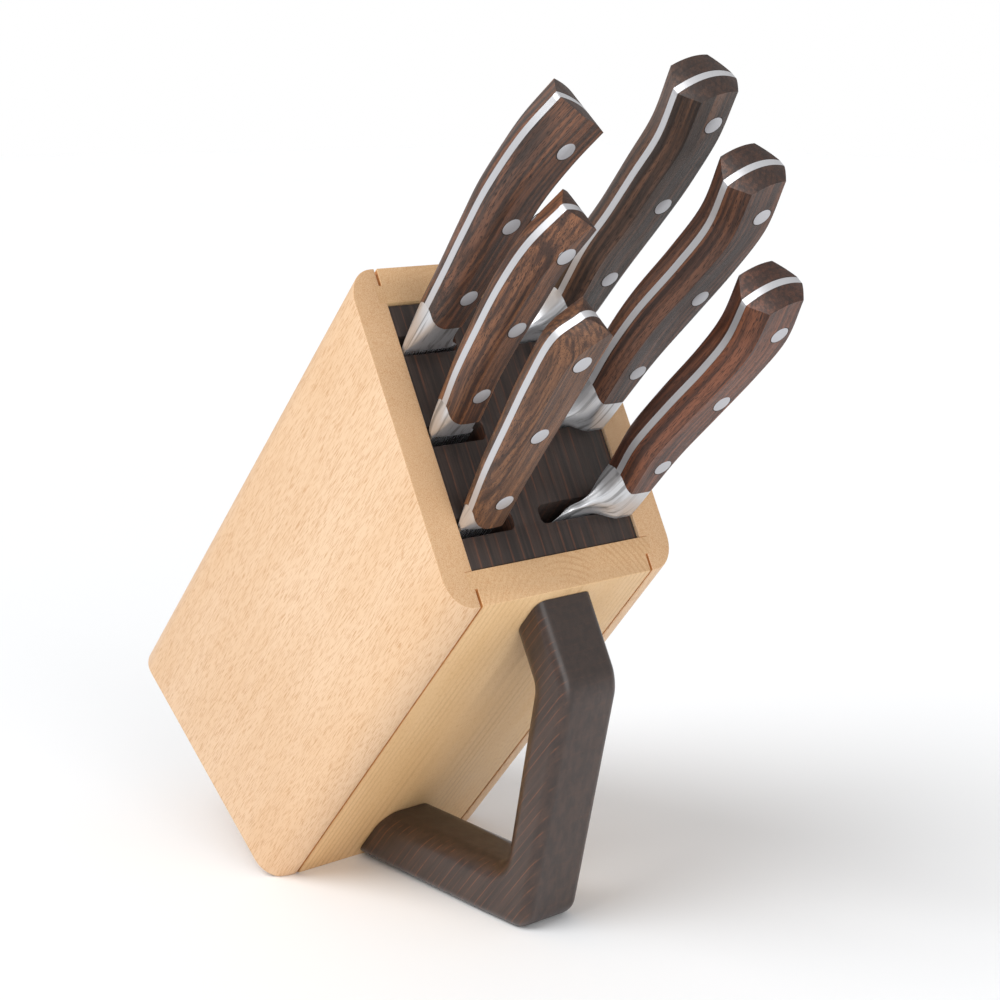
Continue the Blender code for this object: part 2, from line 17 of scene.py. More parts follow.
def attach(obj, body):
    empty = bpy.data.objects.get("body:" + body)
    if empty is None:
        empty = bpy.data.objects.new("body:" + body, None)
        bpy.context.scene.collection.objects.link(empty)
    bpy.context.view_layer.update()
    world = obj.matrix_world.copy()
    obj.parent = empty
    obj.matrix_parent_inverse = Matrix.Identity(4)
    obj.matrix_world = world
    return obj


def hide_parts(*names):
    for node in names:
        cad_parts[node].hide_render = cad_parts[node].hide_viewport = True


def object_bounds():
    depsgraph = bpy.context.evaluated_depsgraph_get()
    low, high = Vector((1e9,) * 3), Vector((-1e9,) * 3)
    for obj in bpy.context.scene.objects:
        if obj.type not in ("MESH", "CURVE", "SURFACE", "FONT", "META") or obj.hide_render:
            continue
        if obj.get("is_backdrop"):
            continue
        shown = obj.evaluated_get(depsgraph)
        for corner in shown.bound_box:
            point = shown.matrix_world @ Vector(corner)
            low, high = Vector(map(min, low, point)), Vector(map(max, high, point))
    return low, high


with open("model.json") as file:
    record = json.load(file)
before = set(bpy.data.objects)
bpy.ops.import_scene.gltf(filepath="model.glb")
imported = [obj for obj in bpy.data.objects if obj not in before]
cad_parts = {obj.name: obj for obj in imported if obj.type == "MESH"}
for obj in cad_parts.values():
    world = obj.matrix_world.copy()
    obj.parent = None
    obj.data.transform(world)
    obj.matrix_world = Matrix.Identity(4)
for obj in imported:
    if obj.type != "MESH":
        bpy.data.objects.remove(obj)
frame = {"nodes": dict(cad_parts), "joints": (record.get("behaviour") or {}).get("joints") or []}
cad_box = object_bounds()
nodes = frame["nodes"]

# %% [markdown]
# The knives slide along the block's own upright axis, so a joint's axis tells how far the block leans.
# Measuring the panels along that axis, and square to it, gives the block's own corner. A matrix from
# those three directions turns millimetres in the upright block into metres in the leaning one.

# %% Measure the block and find its own frame
MM = 0.001
UP = Vector(frame["joints"][0]["axis"]).normalized()
ACROSS = Vector((0.0, 1.0, 0.0))
OUT = ACROSS.cross(UP)


def span(node, way):
    """Lowest and highest reach of a CAD node along a direction, in millimetres."""
    reach = [way.dot(corner.co) / MM for corner in nodes[node].data.vertices]
    return min(reach), max(reach)


back_face = span("back_panel", OUT)[0]
front_face = span("front_panel", OUT)[1]
floor_level, back_top = span("back_panel", UP)
DEPTH = front_face - back_face
BACK_HEIGHT = back_top - floor_level
HALF_WIDTH = span("right_side_panel", ACROSS)[1]
corner = (OUT * front_face + UP * floor_level) * MM
turn = Matrix((OUT, ACROSS, UP)).transposed().to_4x4()
PLACE = Matrix.Translation(corner) @ turn @ Matrix.Scale(MM, 4)
LEAN = math.atan2(UP.x, UP.z)
print(f"block {DEPTH:.1f} deep, {HALF_WIDTH * 2:.1f} wide, {BACK_HEIGHT:.1f} high")
print(f"it leans {math.degrees(LEAN):.1f} degrees")

# %% [markdown]
# Wood shows its grain along the board, whichever way the board is turned. So each piece keeps its own
# grain coordinates, in millimetres with z along the grain, in an attribute on its corners. A finish
# reads that attribute and never has to know how the piece lies in the room.

# %% Turn a bmesh into a finished piece
# Each of these turns the length of a piece, along the block's z or x, to the z axis of its grain.
ALONG_Z = Matrix.Identity(4)
ALONG_X = Matrix(((0, 1, 0, 0), (0, 0, 1, 0), (1, 0, 0, 0), (0, 0, 0, 1)))


def finish_piece(name, shape, body, stands_for, finishes, grain=ALONG_Z, smooth=None):
    """A bmesh in block millimetres becomes an object at the origin that rides on its body."""
    bmesh.ops.recalc_face_normals(shape, faces=shape.faces)
    if "grain" not in shape.verts.layers.float_vector:
        layer = shape.verts.layers.float_vector.new("grain")
        for point in shape.verts:
            point[layer] = grain @ point.co
    bmesh.ops.transform(shape, matrix=PLACE, verts=shape.verts)
    mesh = bpy.data.meshes.new(name)
    shape.to_mesh(mesh)
    shape.free()
    mesh.shade_smooth()
    if smooth is not None:
        mesh.set_sharp_from_angle(angle=math.radians(smooth))
    for finish in finishes:
        mesh.materials.append(finish)
    piece = bpy.data.objects.new(name, mesh)
    bpy.context.scene.collection.objects.link(piece)
    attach(piece, body)
    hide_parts(*stands_for)
    print(f"{name}: {len(mesh.polygons)} faces")
    return piece


# %% [markdown]
# ## Finishes
# A shader is a tree of nodes, and one small function that adds a node, sets it and links it keeps each
# recipe short. Colours are written as they look on a screen and turned to linear light once.

# %% Helpers for shaders
def linear(colour):
    """An sRGB colour such as #c8a070 as linear red, green, blue and alpha."""
    parts = [int(colour[place:place + 2], 16) / 255 for place in (1, 3, 5)]
    return (*(p / 12.92 if p <= 0.04045 else ((p + 0.055) / 1.055) ** 2.4 for p in parts), 1.0)


# Settings and sockets that come back in every recipe: a Mix node that blends colours takes its share
# at socket 0 and the two colours at 6 and 7, and gives the blend at output 2.
SMOOTH = {"interpolation_type": "SMOOTHSTEP"}
MULTIPLY = {"operation": "MULTIPLY"}
MULTIPLY_ADD = {"operation": "MULTIPLY_ADD"}
COLOURS = {"data_type": "RGBA"}
SHARE, UNDER, OVER, BLENDED = 0, 6, 7, 2


def put(tree, kind, settings=None, inputs=None):
    """Adds a shader node, sets it, and links or fills its inputs."""
    node = tree.nodes.new("ShaderNode" + kind)
    for key, value in (settings or {}).items():
        setattr(node, key, value)
    for key, value in (inputs or {}).items():
        if isinstance(value, bpy.types.NodeSocket):
            tree.links.new(value, node.inputs[key])
        else:
            node.inputs[key].default_value = value
    return node


def new_finish(name):
    """A new material, its tree and its shader."""
    made = bpy.data.materials.new(name)
    made.use_nodes = True
    return made, made.node_tree, made.node_tree.nodes["Principled BSDF"]


# %% [markdown]
# Every wood here is the same few things at different sizes and colours: slow changes of tone along the
# board, growth rings about the heart of the tree, short dark pores or flecks, and a darker, duller
# look where the board is cut across. What most woods share is written once, and each wood's own look
# is laid over it. The blots are soft noise, stretched along the grain.

# %% What the woods share
ANY_WOOD = {
    "seed": 0.0, "way": UP, "patch_range": (0.32, 0.68), "wobble_scale": 0.6, "ring_edge": (0.7, 1.0),
    "ring_break": (9.0, 40.0), "end_pore": (0.35, 40.0), "end_pores": 0.3, "coat": 0.0, "coat_rough": 0.3,
}


def blots(tree, source, size, shift, detail=2.0, rough=0.5):
    """Soft blots of a (width, length) in millimetres, from 0 to 1. Each shift gives other blots."""
    width, length = size
    stretched = put(tree, "Mapping", None, {
        "Vector": source, "Location": (shift, shift * 0.7, shift * 1.3),
        "Scale": (1 / width, 1 / width, 1 / length)})
    return put(tree, "TexNoise", None, {
        "Vector": stretched.outputs["Vector"], "Scale": 1.0, "Detail": detail,
        "Roughness": rough}).outputs["Fac"]


# %% [markdown]
# Rings are a wave about the z axis of the grain coordinates, so they show as arches on a board's end
# and as long lines on its face, as in real timber. Soft blots break the lines up. Where a board is
# sawn so that its rings lie along one face, they are faded on the other faces.

# %% Growth rings
# A ring wave repeats every 0.314 / scale, which turns a ring spacing in millimetres into a scale.
WAVE_REPEAT = 0.314
RING_GAPS = (0.35, 0.65)
FACE_ON = (0.3, 0.9)
FADED = 0.12


def ring_lines(tree, source, facing, look):
    """How strongly a growth ring shows, from 0 to the wood's own ring strength."""
    heart = put(tree, "Mapping", None, {
        "Vector": source, "Location": (*look["heart"], 0.0), "Scale": (1.0, 1.0, 0.1)})
    wave = put(tree, "TexWave", {"wave_type": "RINGS", "rings_direction": "Z"}, {
        "Vector": heart.outputs["Vector"], "Scale": WAVE_REPEAT / look["ring"],
        "Distortion": look["wobble"], "Detail": 2.0, "Detail Scale": look["wobble_scale"]})
    line = put(tree, "MapRange", SMOOTH, {
        "Value": wave.outputs["Fac"], "From Min": look["ring_edge"][0], "From Max": look["ring_edge"][1]})
    unbroken = put(tree, "MapRange", SMOOTH, {
        "Value": blots(tree, source, look["ring_break"], look["seed"] + 31.0, 1.0),
        "From Min": RING_GAPS[0], "From Max": RING_GAPS[1]})
    shown = put(tree, "Math", MULTIPLY, {0: line.outputs["Result"], 1: unbroken.outputs["Result"]})
    share = put(tree, "Math", MULTIPLY, {0: shown.outputs[0], 1: look["ring_strength"]}).outputs[0]
    if "rings_on" in look:
        turned_to = put(tree, "VectorMath", {"operation": "DOT_PRODUCT"}, {0: facing, 1: look["rings_on"]})
        flat_on = put(tree, "Math", {"operation": "ABSOLUTE"}, {0: turned_to.outputs["Value"]})
        kept = put(tree, "MapRange", SMOOTH, {
            "Value": flat_on.outputs[0], "From Min": FACE_ON[0], "From Max": FACE_ON[1], "To Min": FADED})
        share = put(tree, "Math", MULTIPLY, {0: share, 1: kept.outputs["Result"]}).outputs[0]
    return share


# %% [markdown]
# The whole recipe starts from the tone of the board and lays the sawn end, the rings, the flecks and
# the pores of the end over it, one after the other. Roughness follows wear from handling, and the
# relief sinks the flecks below the fine grain.

# %% A recipe for oiled wood
END_FACING = (0.55, 0.9)
PORE_RANGE = (0.4, 0.7)
HANDLING_SIZE, HANDLING_RANGE = (6.0, 30.0), (0.3, 0.7)
FINE_GRAIN = (0.25, 2.5)
END_DULLS, FLECK_SINKS = 0.12, -0.8
WOOD_IOR = 1.5
# Heights are in metres: pores and fine grain stand or sink a few hundredths of a millimetre.
GRAIN_HEIGHT = 0.00008


def wooden(name, own_look, coordinates="grain"):
    """A finish for one wood. CAD nodes have no grain attribute, so theirs reads Object coordinates."""
    look = {**ANY_WOOD, **own_look}
    seed = look["seed"]
    made, tree, shader = new_finish(name)
    if coordinates == "grain":
        source = put(tree, "Attribute", {"attribute_name": "grain"}).outputs["Vector"]
    else:
        place = put(tree, "TexCoord").outputs["Object"]
        source = put(tree, "Mapping", {"vector_type": "POINT"}, {
            "Vector": place, "Rotation": (0.0, -LEAN, 0.0),
            "Scale": (1 / MM, 1 / MM, 1 / MM)}).outputs["Vector"]

    tone = put(tree, "MapRange", SMOOTH, {
        "Value": blots(tree, source, look["patch"], seed, 3.0, 0.55),
        "From Min": look["patch_range"][0], "From Max": look["patch_range"][1]})
    colour = put(tree, "Mix", COLOURS, {
        SHARE: tone.outputs["Result"], UNDER: linear(look["dark"]), OVER: linear(look["light"])})

    facing = put(tree, "NewGeometry").outputs["Normal"]
    across_cut = put(tree, "VectorMath", {"operation": "DOT_PRODUCT"}, {0: facing, 1: tuple(look["way"])})
    squarely = put(tree, "Math", {"operation": "ABSOLUTE"}, {0: across_cut.outputs["Value"]})
    end = put(tree, "MapRange", SMOOTH, {
        "Value": squarely.outputs[0], "From Min": END_FACING[0],
        "From Max": END_FACING[1]}).outputs["Result"]
    end_share = put(tree, "Math", MULTIPLY, {0: end, 1: look["end_share"]})
    colour = put(tree, "Mix", COLOURS, {
        SHARE: end_share.outputs[0], UNDER: colour.outputs[BLENDED], OVER: linear(look["end_colour"])})

    rings = ring_lines(tree, source, facing, look)
    colour = put(tree, "Mix", COLOURS, {
        SHARE: rings, UNDER: colour.outputs[BLENDED], OVER: linear(look["ring_colour"])})

    flecked = put(tree, "MapRange", SMOOTH, {
        "Value": blots(tree, source, look["fleck"], seed + 7.0, 1.0, 0.4),
        "From Min": look["fleck_range"][0], "From Max": look["fleck_range"][1]}).outputs["Result"]
    fleck_share = put(tree, "Math", MULTIPLY, {0: flecked, 1: look["fleck_strength"]})
    colour = put(tree, "Mix", COLOURS, {
        SHARE: fleck_share.outputs[0], UNDER: colour.outputs[BLENDED], OVER: linear(look["fleck_colour"])})

    pores = put(tree, "MapRange", SMOOTH, {
        "Value": blots(tree, source, look["end_pore"], seed + 3.0, 2.0, 0.6),
        "From Min": PORE_RANGE[0], "From Max": PORE_RANGE[1]})
    on_end = put(tree, "Math", MULTIPLY, {0: end, 1: pores.outputs["Result"]})
    pore_share = put(tree, "Math", MULTIPLY, {0: on_end.outputs[0], 1: look["end_pores"]})
    colour = put(tree, "Mix", COLOURS, {
        SHARE: pore_share.outputs[0], UNDER: colour.outputs[BLENDED], OVER: linear(look["fleck_colour"])})

    sheen = put(tree, "MapRange", SMOOTH, {
        "Value": blots(tree, source, HANDLING_SIZE, seed + 11.0),
        "From Min": HANDLING_RANGE[0], "From Max": HANDLING_RANGE[1],
        "To Min": look["roughness"][0], "To Max": look["roughness"][1]})
    rough = put(tree, "Math", {**MULTIPLY_ADD, "use_clamp": True}, {
        0: end, 1: END_DULLS, 2: sheen.outputs["Result"]})
    fine = blots(tree, source, FINE_GRAIN, seed + 17.0, 2.0, 0.6)
    relief = put(tree, "Math", MULTIPLY_ADD, {0: flecked, 1: FLECK_SINKS, 2: fine})
    bump = put(tree, "Bump", None, {
        "Strength": look["relief"], "Distance": GRAIN_HEIGHT, "Height": relief.outputs[0]})
    tree.links.new(colour.outputs[BLENDED], shader.inputs["Base Color"])
    tree.links.new(rough.outputs[0], shader.inputs["Roughness"])
    tree.links.new(bump.outputs["Normal"], shader.inputs["Normal"])
    shader.inputs["IOR"].default_value = WOOD_IOR
    shader.inputs["Coat Weight"].default_value = look["coat"]
    shader.inputs["Coat Roughness"].default_value = look["coat_rough"]
    made.diffuse_color = linear(look["light"])
    return made


# %% [markdown]
# The boards are European beech, planed and oiled: pale peach, with short dark flecks 2 to 5 mm long
# where rays of the wood reach the surface. Sawn ends drink more oil, so they are browner. The faces
# deep in the grooves get a browner beech too, as painted shade.

# %% Oiled beech
BEECH = {
    "light": "#e6c5a2", "dark": "#deb992", "patch": (45.0, 160.0), "heart": (30.0, 95.0), "ring": 6.0,
    "ring_strength": 0.14, "ring_colour": "#c99c6e", "wobble": 1.2, "fleck": (0.22, 4.6),
    "fleck_range": (0.54, 0.65), "fleck_strength": 0.52, "fleck_colour": "#b47b45",
    "end_colour": "#cfac84", "end_share": 0.8, "end_pore": (0.4, 40.0), "end_pores": 0.55,
    "roughness": (0.42, 0.52), "relief": 0.25,
}
beech_side = wooden("oiled_beech_side_boards", BEECH)
beech_front = wooden("oiled_beech_front_and_back", {
    **BEECH, "light": "#e4c193", "dark": "#dab381", "heart": (-20.0, 4.0), "ring": 2.4,
    "ring_strength": 0.3, "ring_colour": "#a97a48", "ring_edge": (0.5, 1.0),
    "ring_break": (30.0, 90.0), "fleck": (0.3, 2.2), "fleck_strength": 0.3, "seed": 50.0})
beech_inside = wooden("raw_beech_inside", {
    **BEECH, "light": "#dcb489", "dark": "#cb9f70", "roughness": (0.6, 0.7)}, "Object")
# Painted shade: a browner beech for the faces deep in the grooves, where real grooves are shaded.
groove_painted_shade = wooden("beech_with_painted_shade_in_the_grooves", {
    **BEECH, "light": "#d3935a", "dark": "#bd7d45", "end_colour": "#a8682f", "fleck_colour": "#8d5427"})
print("beech finishes made")

# %% [markdown]
# The plate and the carry handle are beech that was baked until it turned brown right through. The
# grain closes up, and only the growth rings stay lighter: thin orange lines, broken up along their
# length. A thin oil film gives the handle a satin sheen, and the plate is left duller.

# %% Heat-treated beech
BAKED = {
    "light": "#3f2c23", "dark": "#2c1e18", "patch": (3.0, 80.0), "heart": (120.0, 5.0), "ring": 2.9,
    "ring_edge": (0.88, 0.995), "ring_strength": 0.5, "ring_colour": "#7d4a2e", "wobble": 0.8,
    "ring_break": (2.5, 30.0), "fleck": (0.28, 3.5), "fleck_range": (0.56, 0.68), "fleck_strength": 0.5,
    "fleck_colour": "#1f1714", "end_colour": "#2f2520", "end_share": 0.5, "roughness": (0.34, 0.42),
    "relief": 0.25, "coat": 0.3, "coat_rough": 0.22,
}
baked_handle = wooden("heat_treated_beech_handle", {**BAKED, "rings_on": (0.0, 1.0, 0.0)})
baked_plate = wooden("heat_treated_beech_plate", {
    **BAKED, "way": OUT, "heart": (140.0, -150.0), "seed": 20.0, "light": "#392a23", "dark": "#211814",
    "patch": (1.6, 60.0), "ring_strength": 0.4, "ring_colour": "#734227", "ring": 5.3,
    "ring_edge": (0.86, 0.99), "ring_break": (0.7, 16.0), "roughness": (0.45, 0.55),
    "end_share": 0.0, "coat": 0.0})
print("baked beech finishes made")

# %% [markdown]
# The handle scales are walnut, and each pair is a different piece of the tree: the small knives' are
# a warm brown, the santoku's is redder, and those of the two longest knives are darker. All have long
# dark streaks and open pores, short dark scratches 2 to 3 mm long that stay visible after polishing.

# %% Walnut, one finish for each knife
WALNUT = {
    "patch": (1.7, 80.0), "patch_range": (0.38, 0.64), "heart": (22.0, 70.0), "ring": 1.9,
    "ring_edge": (0.5, 0.98), "ring_strength": 0.55, "ring_colour": "#21140e", "wobble": 0.9,
    "wobble_scale": 0.25, "ring_break": (3.0, 70.0), "fleck": (0.2, 2.8), "fleck_range": (0.56, 0.66),
    "fleck_strength": 0.85, "fleck_colour": "#170d09", "end_colour": "#34211a", "end_share": 0.7,
    "end_pore": (0.3, 30.0), "end_pores": 0.7, "roughness": (0.34, 0.48), "relief": 0.6,
}
WALNUT_TONES = {
    "paring_knife": {"light": "#7d5438", "dark": "#4c3021", "heart": (60.0, 20.0), "seed": 3.0},
    "utility_knife": {"light": "#85573a", "dark": "#452b1f", "seed": 61.0},
    "slicing_knife": {"light": "#7b5039", "dark": "#41322b", "seed": 115.0},
    "santoku_knife": {"light": "#7f4c34", "dark": "#45281d", "seed": 173.0},
    "carving_knife": {"light": "#6e4733", "dark": "#392721", "seed": 229.0},
    "chefs_knife": {"light": "#644635", "dark": "#342822", "seed": 283.0},
}
walnut = {name: wooden("walnut_" + name, {**WALNUT, **tone}) for name, tone in WALNUT_TONES.items()}
print("walnut finishes", len(walnut))


# %% [markdown]
# The forged steel is brushed along the knife, which draws reflections out into soft streaks. On the
# bolster these streaks are painted into the colour as long grey bands: painted reflection. The strip
# between the scales and the rivets are buffed instead, so their grey is more even. Brushing is drawn
# as fine lines in roughness and height: real ones are finer than 0.1 mm, and these are 0.2 to 0.5 mm
# wide so that they show. Handling leaves soft smudges some 10 mm across.

# %% Brushed steel
LINE_LENGTH, SMUDGE, SMUDGE_LENGTH = 25.0, 9.0, 14.0
# Long grey bands painted into the colour along the knife: painted reflection streaks.
REFLECTION_BAND = (1.9, 4.0, 60.0)
REFLECTION_BAND_RANGE = (0.5, 0.68)
PAINTED_REFLECTION_GREY = "#4a4745"
# In metres, as every Bump distance is.
BRUSH_HEIGHT = 0.00002


def brushed(name, colour, roughness, line=0.25, relief=0.2, coordinates="grain", metallic=0.85, streaks=0.0):
    """A steel finish between two colours and two roughnesses, with lines of a width in millimetres. streaks
    is the share of painted reflection bands.
    """
    made, tree, shader = new_finish(name)
    if coordinates == "grain":
        source = put(tree, "Attribute", {"attribute_name": "grain"}).outputs["Vector"]
        size = 1.0
    else:
        source = put(tree, "TexCoord").outputs["Object"]
        size = 1 / MM
    lines = put(tree, "Mapping", None, {
        "Vector": source, "Scale": (size / line, size / line, size / LINE_LENGTH)})
    brush = put(tree, "TexNoise", None, {
        "Vector": lines.outputs["Vector"], "Scale": 1.0, "Detail": 2.0}).outputs["Fac"]
    smudge = put(tree, "Mapping", None, {
        "Vector": source, "Scale": (size / SMUDGE, size / SMUDGE, size / SMUDGE_LENGTH)})
    handling = put(tree, "TexNoise", None, {
        "Vector": smudge.outputs["Vector"], "Scale": 1.0, "Detail": 2.0}).outputs["Fac"]
    mixed = put(tree, "Math", MULTIPLY_ADD, {0: handling, 1: 0.5, 2: brush})
    rough = put(tree, "MapRange", None, {
        "Value": mixed.outputs[0], "From Min": 0.5, "From Max": 1.0, "To Min": roughness[0],
        "To Max": roughness[1]})
    shade = put(tree, "Mix", COLOURS, {
        SHARE: brush, UNDER: linear(colour[0]), OVER: linear(colour[1])})
    bump = put(tree, "Bump", None, {"Strength": relief, "Distance": BRUSH_HEIGHT, "Height": brush})
    reflection_bands = put(tree, "Mapping", None, {
        "Vector": source, "Scale": (size / REFLECTION_BAND[0], size / REFLECTION_BAND[1], size / REFLECTION_BAND[2])})
    reflection_band = put(tree, "TexNoise", None, {"Vector": reflection_bands.outputs["Vector"], "Scale": 1.0, "Detail": 3.0})
    painted_streak = put(tree, "MapRange", SMOOTH, {
        "Value": reflection_band.outputs["Fac"], "From Min": REFLECTION_BAND_RANGE[0], "From Max": REFLECTION_BAND_RANGE[1],
        "To Max": streaks})
    shade = put(tree, "Mix", COLOURS, {
        SHARE: painted_streak.outputs["Result"], UNDER: shade.outputs[BLENDED], OVER: linear(PAINTED_REFLECTION_GREY)})
    tree.links.new(shade.outputs[BLENDED], shader.inputs["Base Color"])
    tree.links.new(rough.outputs["Result"], shader.inputs["Roughness"])
    tree.links.new(bump.outputs["Normal"], shader.inputs["Normal"])
    shader.inputs["Metallic"].default_value = metallic
    made.diffuse_color = linear(colour[1])
    return made


# The bolster steel carries the painted reflection bands.
satin_steel = brushed("satin_forged_steel", ("#c9cbce", "#e2e3e6"), (0.28, 0.4), metallic=0.75, streaks=0.55)
blade_steel = brushed("fine_ground_blade_steel", ("#c6c8cb", "#d6d8db"), (0.22, 0.32), metallic=0.95)
polished_steel = brushed("buffed_tang_steel", ("#c6c6c9", "#d0d0d3"), (0.36, 0.46), 0.4, 0.05, metallic=0.6)
rivet_steel = brushed("turned_rivet_steel", ("#bcbcc0", "#cacace"), (0.36, 0.48), 0.2, 0.1, metallic=0.6)
screw_steel = brushed("zinc_plated_screw_steel", ("#a2a199", "#bdbcb2"), (0.35, 0.5), 0.5, 0.1, "Object")
print("steel finishes made")

# %% [markdown]
# Round each rivet the drill leaves a hairline in the wood, drawn as a thin, dark, mottled ring.

# %% Dark hairline
seam, seam_tree, seam_shader = new_finish("dark_hairline_round_rivets")
seam_place = put(seam_tree, "TexCoord").outputs["Object"]
seam_mottle = put(seam_tree, "TexNoise", None, {"Vector": seam_place, "Scale": 900.0}).outputs["Fac"]
seam_colour = put(seam_tree, "Mix", COLOURS, {
    SHARE: seam_mottle, UNDER: linear("#1a110d"), OVER: linear("#3a281e")})
seam_tree.links.new(seam_colour.outputs[BLENDED], seam_shader.inputs["Base Color"])
seam_shader.inputs["Roughness"].default_value = 0.7
print("dark hairline made")

# %% [markdown]
# ## The boards
# Each board is drawn as its outline seen from above, pulled up into a solid, and sawn off along the
# slanted top and the small flat that the block stands on. Bevels then break the edges, because no
# real edge is perfectly sharp and a bevel is what catches the light.

# %% Board helpers
# SHADOW is the gap beside the front board's outer face, and PLAY the room for glue round its tongue.
SLANT = math.radians(22.5)
REST_FLAT = 2.5
SIDE_WALL, PANEL_WALL = 15.0, 13.0
TONGUE_THICK, TONGUE_LONG, SHADOW, PLAY = 6.5, 3.6, 1.2, 0.02
BLANK_TOP = BACK_HEIGHT + 10.0
SAME_PLACE = 0.05
INNER_HALF = HALF_WIDTH - SIDE_WALL
FRONT_HEIGHT = BACK_HEIGHT - DEPTH * math.tan(SLANT)
TOP_WAY = Vector((math.sin(SLANT), 0.0, math.cos(SLANT)))


def saw(shape, point, way):
    """Takes away what lies beyond a plane and closes the cut."""
    everything = list(shape.verts) + list(shape.edges) + list(shape.faces)
    cut = bmesh.ops.bisect_plane(shape, geom=everything, plane_co=point, plane_no=way, clear_outer=True)
    rim = [item for item in cut["geom_cut"] if isinstance(item, bmesh.types.BMEdge)]
    bmesh.ops.holes_fill(shape, edges=rim)


def raise_outline(outline, low, high):
    """A solid between two heights over an outline of (x, y) points."""
    shape = bmesh.new()
    face = shape.faces.new([shape.verts.new((x, y, low)) for x, y in outline])
    pulled = bmesh.ops.extrude_face_region(shape, geom=[face])
    moved = [item for item in pulled["geom"] if isinstance(item, bmesh.types.BMVert)]
    bmesh.ops.translate(shape, vec=(0.0, 0.0, high - low), verts=moved)
    bmesh.ops.recalc_face_normals(shape, faces=shape.faces)
    return shape


def in_joint(edge):
    """True for the edges of a tongue or its groove, which are glued shut and never rounded."""
    middle = (edge.verts[0].co + edge.verts[1].co) / 2
    depth = DEPTH / 2 - abs(middle.x + DEPTH / 2)
    inside = PANEL_WALL - TONGUE_THICK - 0.5 < depth < PANEL_WALL + 0.5
    return inside and INNER_HALF - SAME_PLACE < abs(middle.y) < INNER_HALF + TONGUE_LONG + 0.5


def break_edges(shape, width, segments=2, at_least=30.0):
    """Rounds every edge that is sharper than an angle, given in degrees."""
    sharp = [e for e in shape.edges if e.is_manifold and e.calc_face_angle() > math.radians(at_least)]
    sharp = [e for e in sharp if not in_joint(e)]
    bmesh.ops.bevel(shape, geom=sharp, offset=width, offset_type="OFFSET", affect="EDGES",
                    segments=segments, profile=0.5, material=-1, clamp_overlap=True)


def round_uprights(shape, places, radius, segments):
    """Rounds the upright edges that stand at the given (x, y) places."""
    chosen = []
    for edge in shape.edges:
        low, high = edge.verts
        if (low.co - high.co).xy.length < 0.01:
            if any((low.co.xy - Vector(place)).length < SAME_PLACE for place in places):
                chosen.append(edge)
    bmesh.ops.bevel(shape, geom=chosen, offset=radius, offset_type="OFFSET", affect="EDGES",
                    segments=segments, profile=0.5, material=-1)


def saw_block_ends(shape, stands=True):
    """The slanted top, and the narrow flat under the front that the block rests on."""
    saw(shape, Vector((0.0, 0.0, FRONT_HEIGHT)), TOP_WAY)
    if stands:
        down = Vector((math.sin(LEAN), 0.0, -math.cos(LEAN)))
        saw(shape, Vector((-REST_FLAT * math.cos(LEAN), 0.0, 0.0)), down)


def paint_groove_shade(shape, low, high):
    """Gives upright faces in a groove, between two distances from the middle, the second finish: painted
    shade.
    """
    for face in shape.faces:
        centre = face.calc_center_median()
        if low < abs(centre.y) < high and abs(abs(centre.x + DEPTH / 2) - DEPTH / 2) > 0.6:
            face.material_index = abs(face.normal.z) < 0.5


# %% [markdown]
# The side boards are the thick ones. Their outer corners are rounded to 12 mm, and a step along the
# inner edges takes the tongue of the front and back boards. The step is cut 1.2 mm wider than the
# tongue's shoulder, which leaves the thin shadow line down each side of the front.

# %% Side boards
CORNER_RADIUS = 12.0


def side_outline(side):
    """The board seen from above, as (x, y) points. side is 1 for the right board, -1 for the left."""
    groove_out = -PANEL_WALL + TONGUE_THICK + PLAY
    groove_in = -PANEL_WALL - PLAY
    groove_floor = INNER_HALF + TONGUE_LONG + PLAY
    front = [(groove_in, INNER_HALF), (groove_in, groove_floor), (groove_out, groove_floor),
             (groove_out, INNER_HALF + SHADOW), (0.0, INNER_HALF + SHADOW), (0.0, HALF_WIDTH)]
    back = [(-DEPTH - x, y) for x, y in reversed(front)]
    return [(x, side * y) for x, y in front + back]


for name, side, node in (("left_board", -1, "left_side_panel"), ("right_board", 1, "right_side_panel")):
    board = raise_outline(side_outline(side), 0.0, BLANK_TOP)
    round_uprights(board, [(0.0, side * HALF_WIDTH), (-DEPTH, side * HALF_WIDTH)], CORNER_RADIUS, 10)
    saw_block_ends(board)
    break_edges(board, 0.5, 3)
    # The faces in the grooves take the painted shade.
    paint_groove_shade(board, INNER_HALF + 0.1, INNER_HALF + TONGUE_LONG + 0.5)
    finish_piece(name, board, "block", [node], [beech_side, groove_painted_shade], smooth=35)

# %% [markdown]
# The front and back boards are flat, with a tongue down each side. Only a thin break softens them.

# %% Front and back boards
flat_boards = (("front_board", 0.0, -1, "front_panel"), ("back_board", -DEPTH, 1, "back_panel"))
for name, outer, inward, node in flat_boards:
    inner = outer + inward * PANEL_WALL
    step = inner - inward * TONGUE_THICK
    tip = INNER_HALF + TONGUE_LONG
    half = [(outer, INNER_HALF), (step, INNER_HALF), (step, tip), (inner, tip)]
    board = raise_outline(half + [(x, -y) for x, y in reversed(half)], 0.0, BLANK_TOP)
    saw_block_ends(board, outer == 0.0)
    break_edges(board, 0.35, 2)
    # The faces in the grooves take the painted shade.
    paint_groove_shade(board, INNER_HALF - 0.02, INNER_HALF + TONGUE_LONG + 0.5)
    finish_piece(name, board, "block", [node], [beech_front, groove_painted_shade], smooth=35)

# %% [markdown]
# The slotted plate sits 1 mm below the rim, with a hairline round it. Its slots run in from the side
# edges and end in rounded corners, as a router leaves them. The blank is an outline like those of the
# boards, sawn along the slant twice: once for its top and once for its underside.

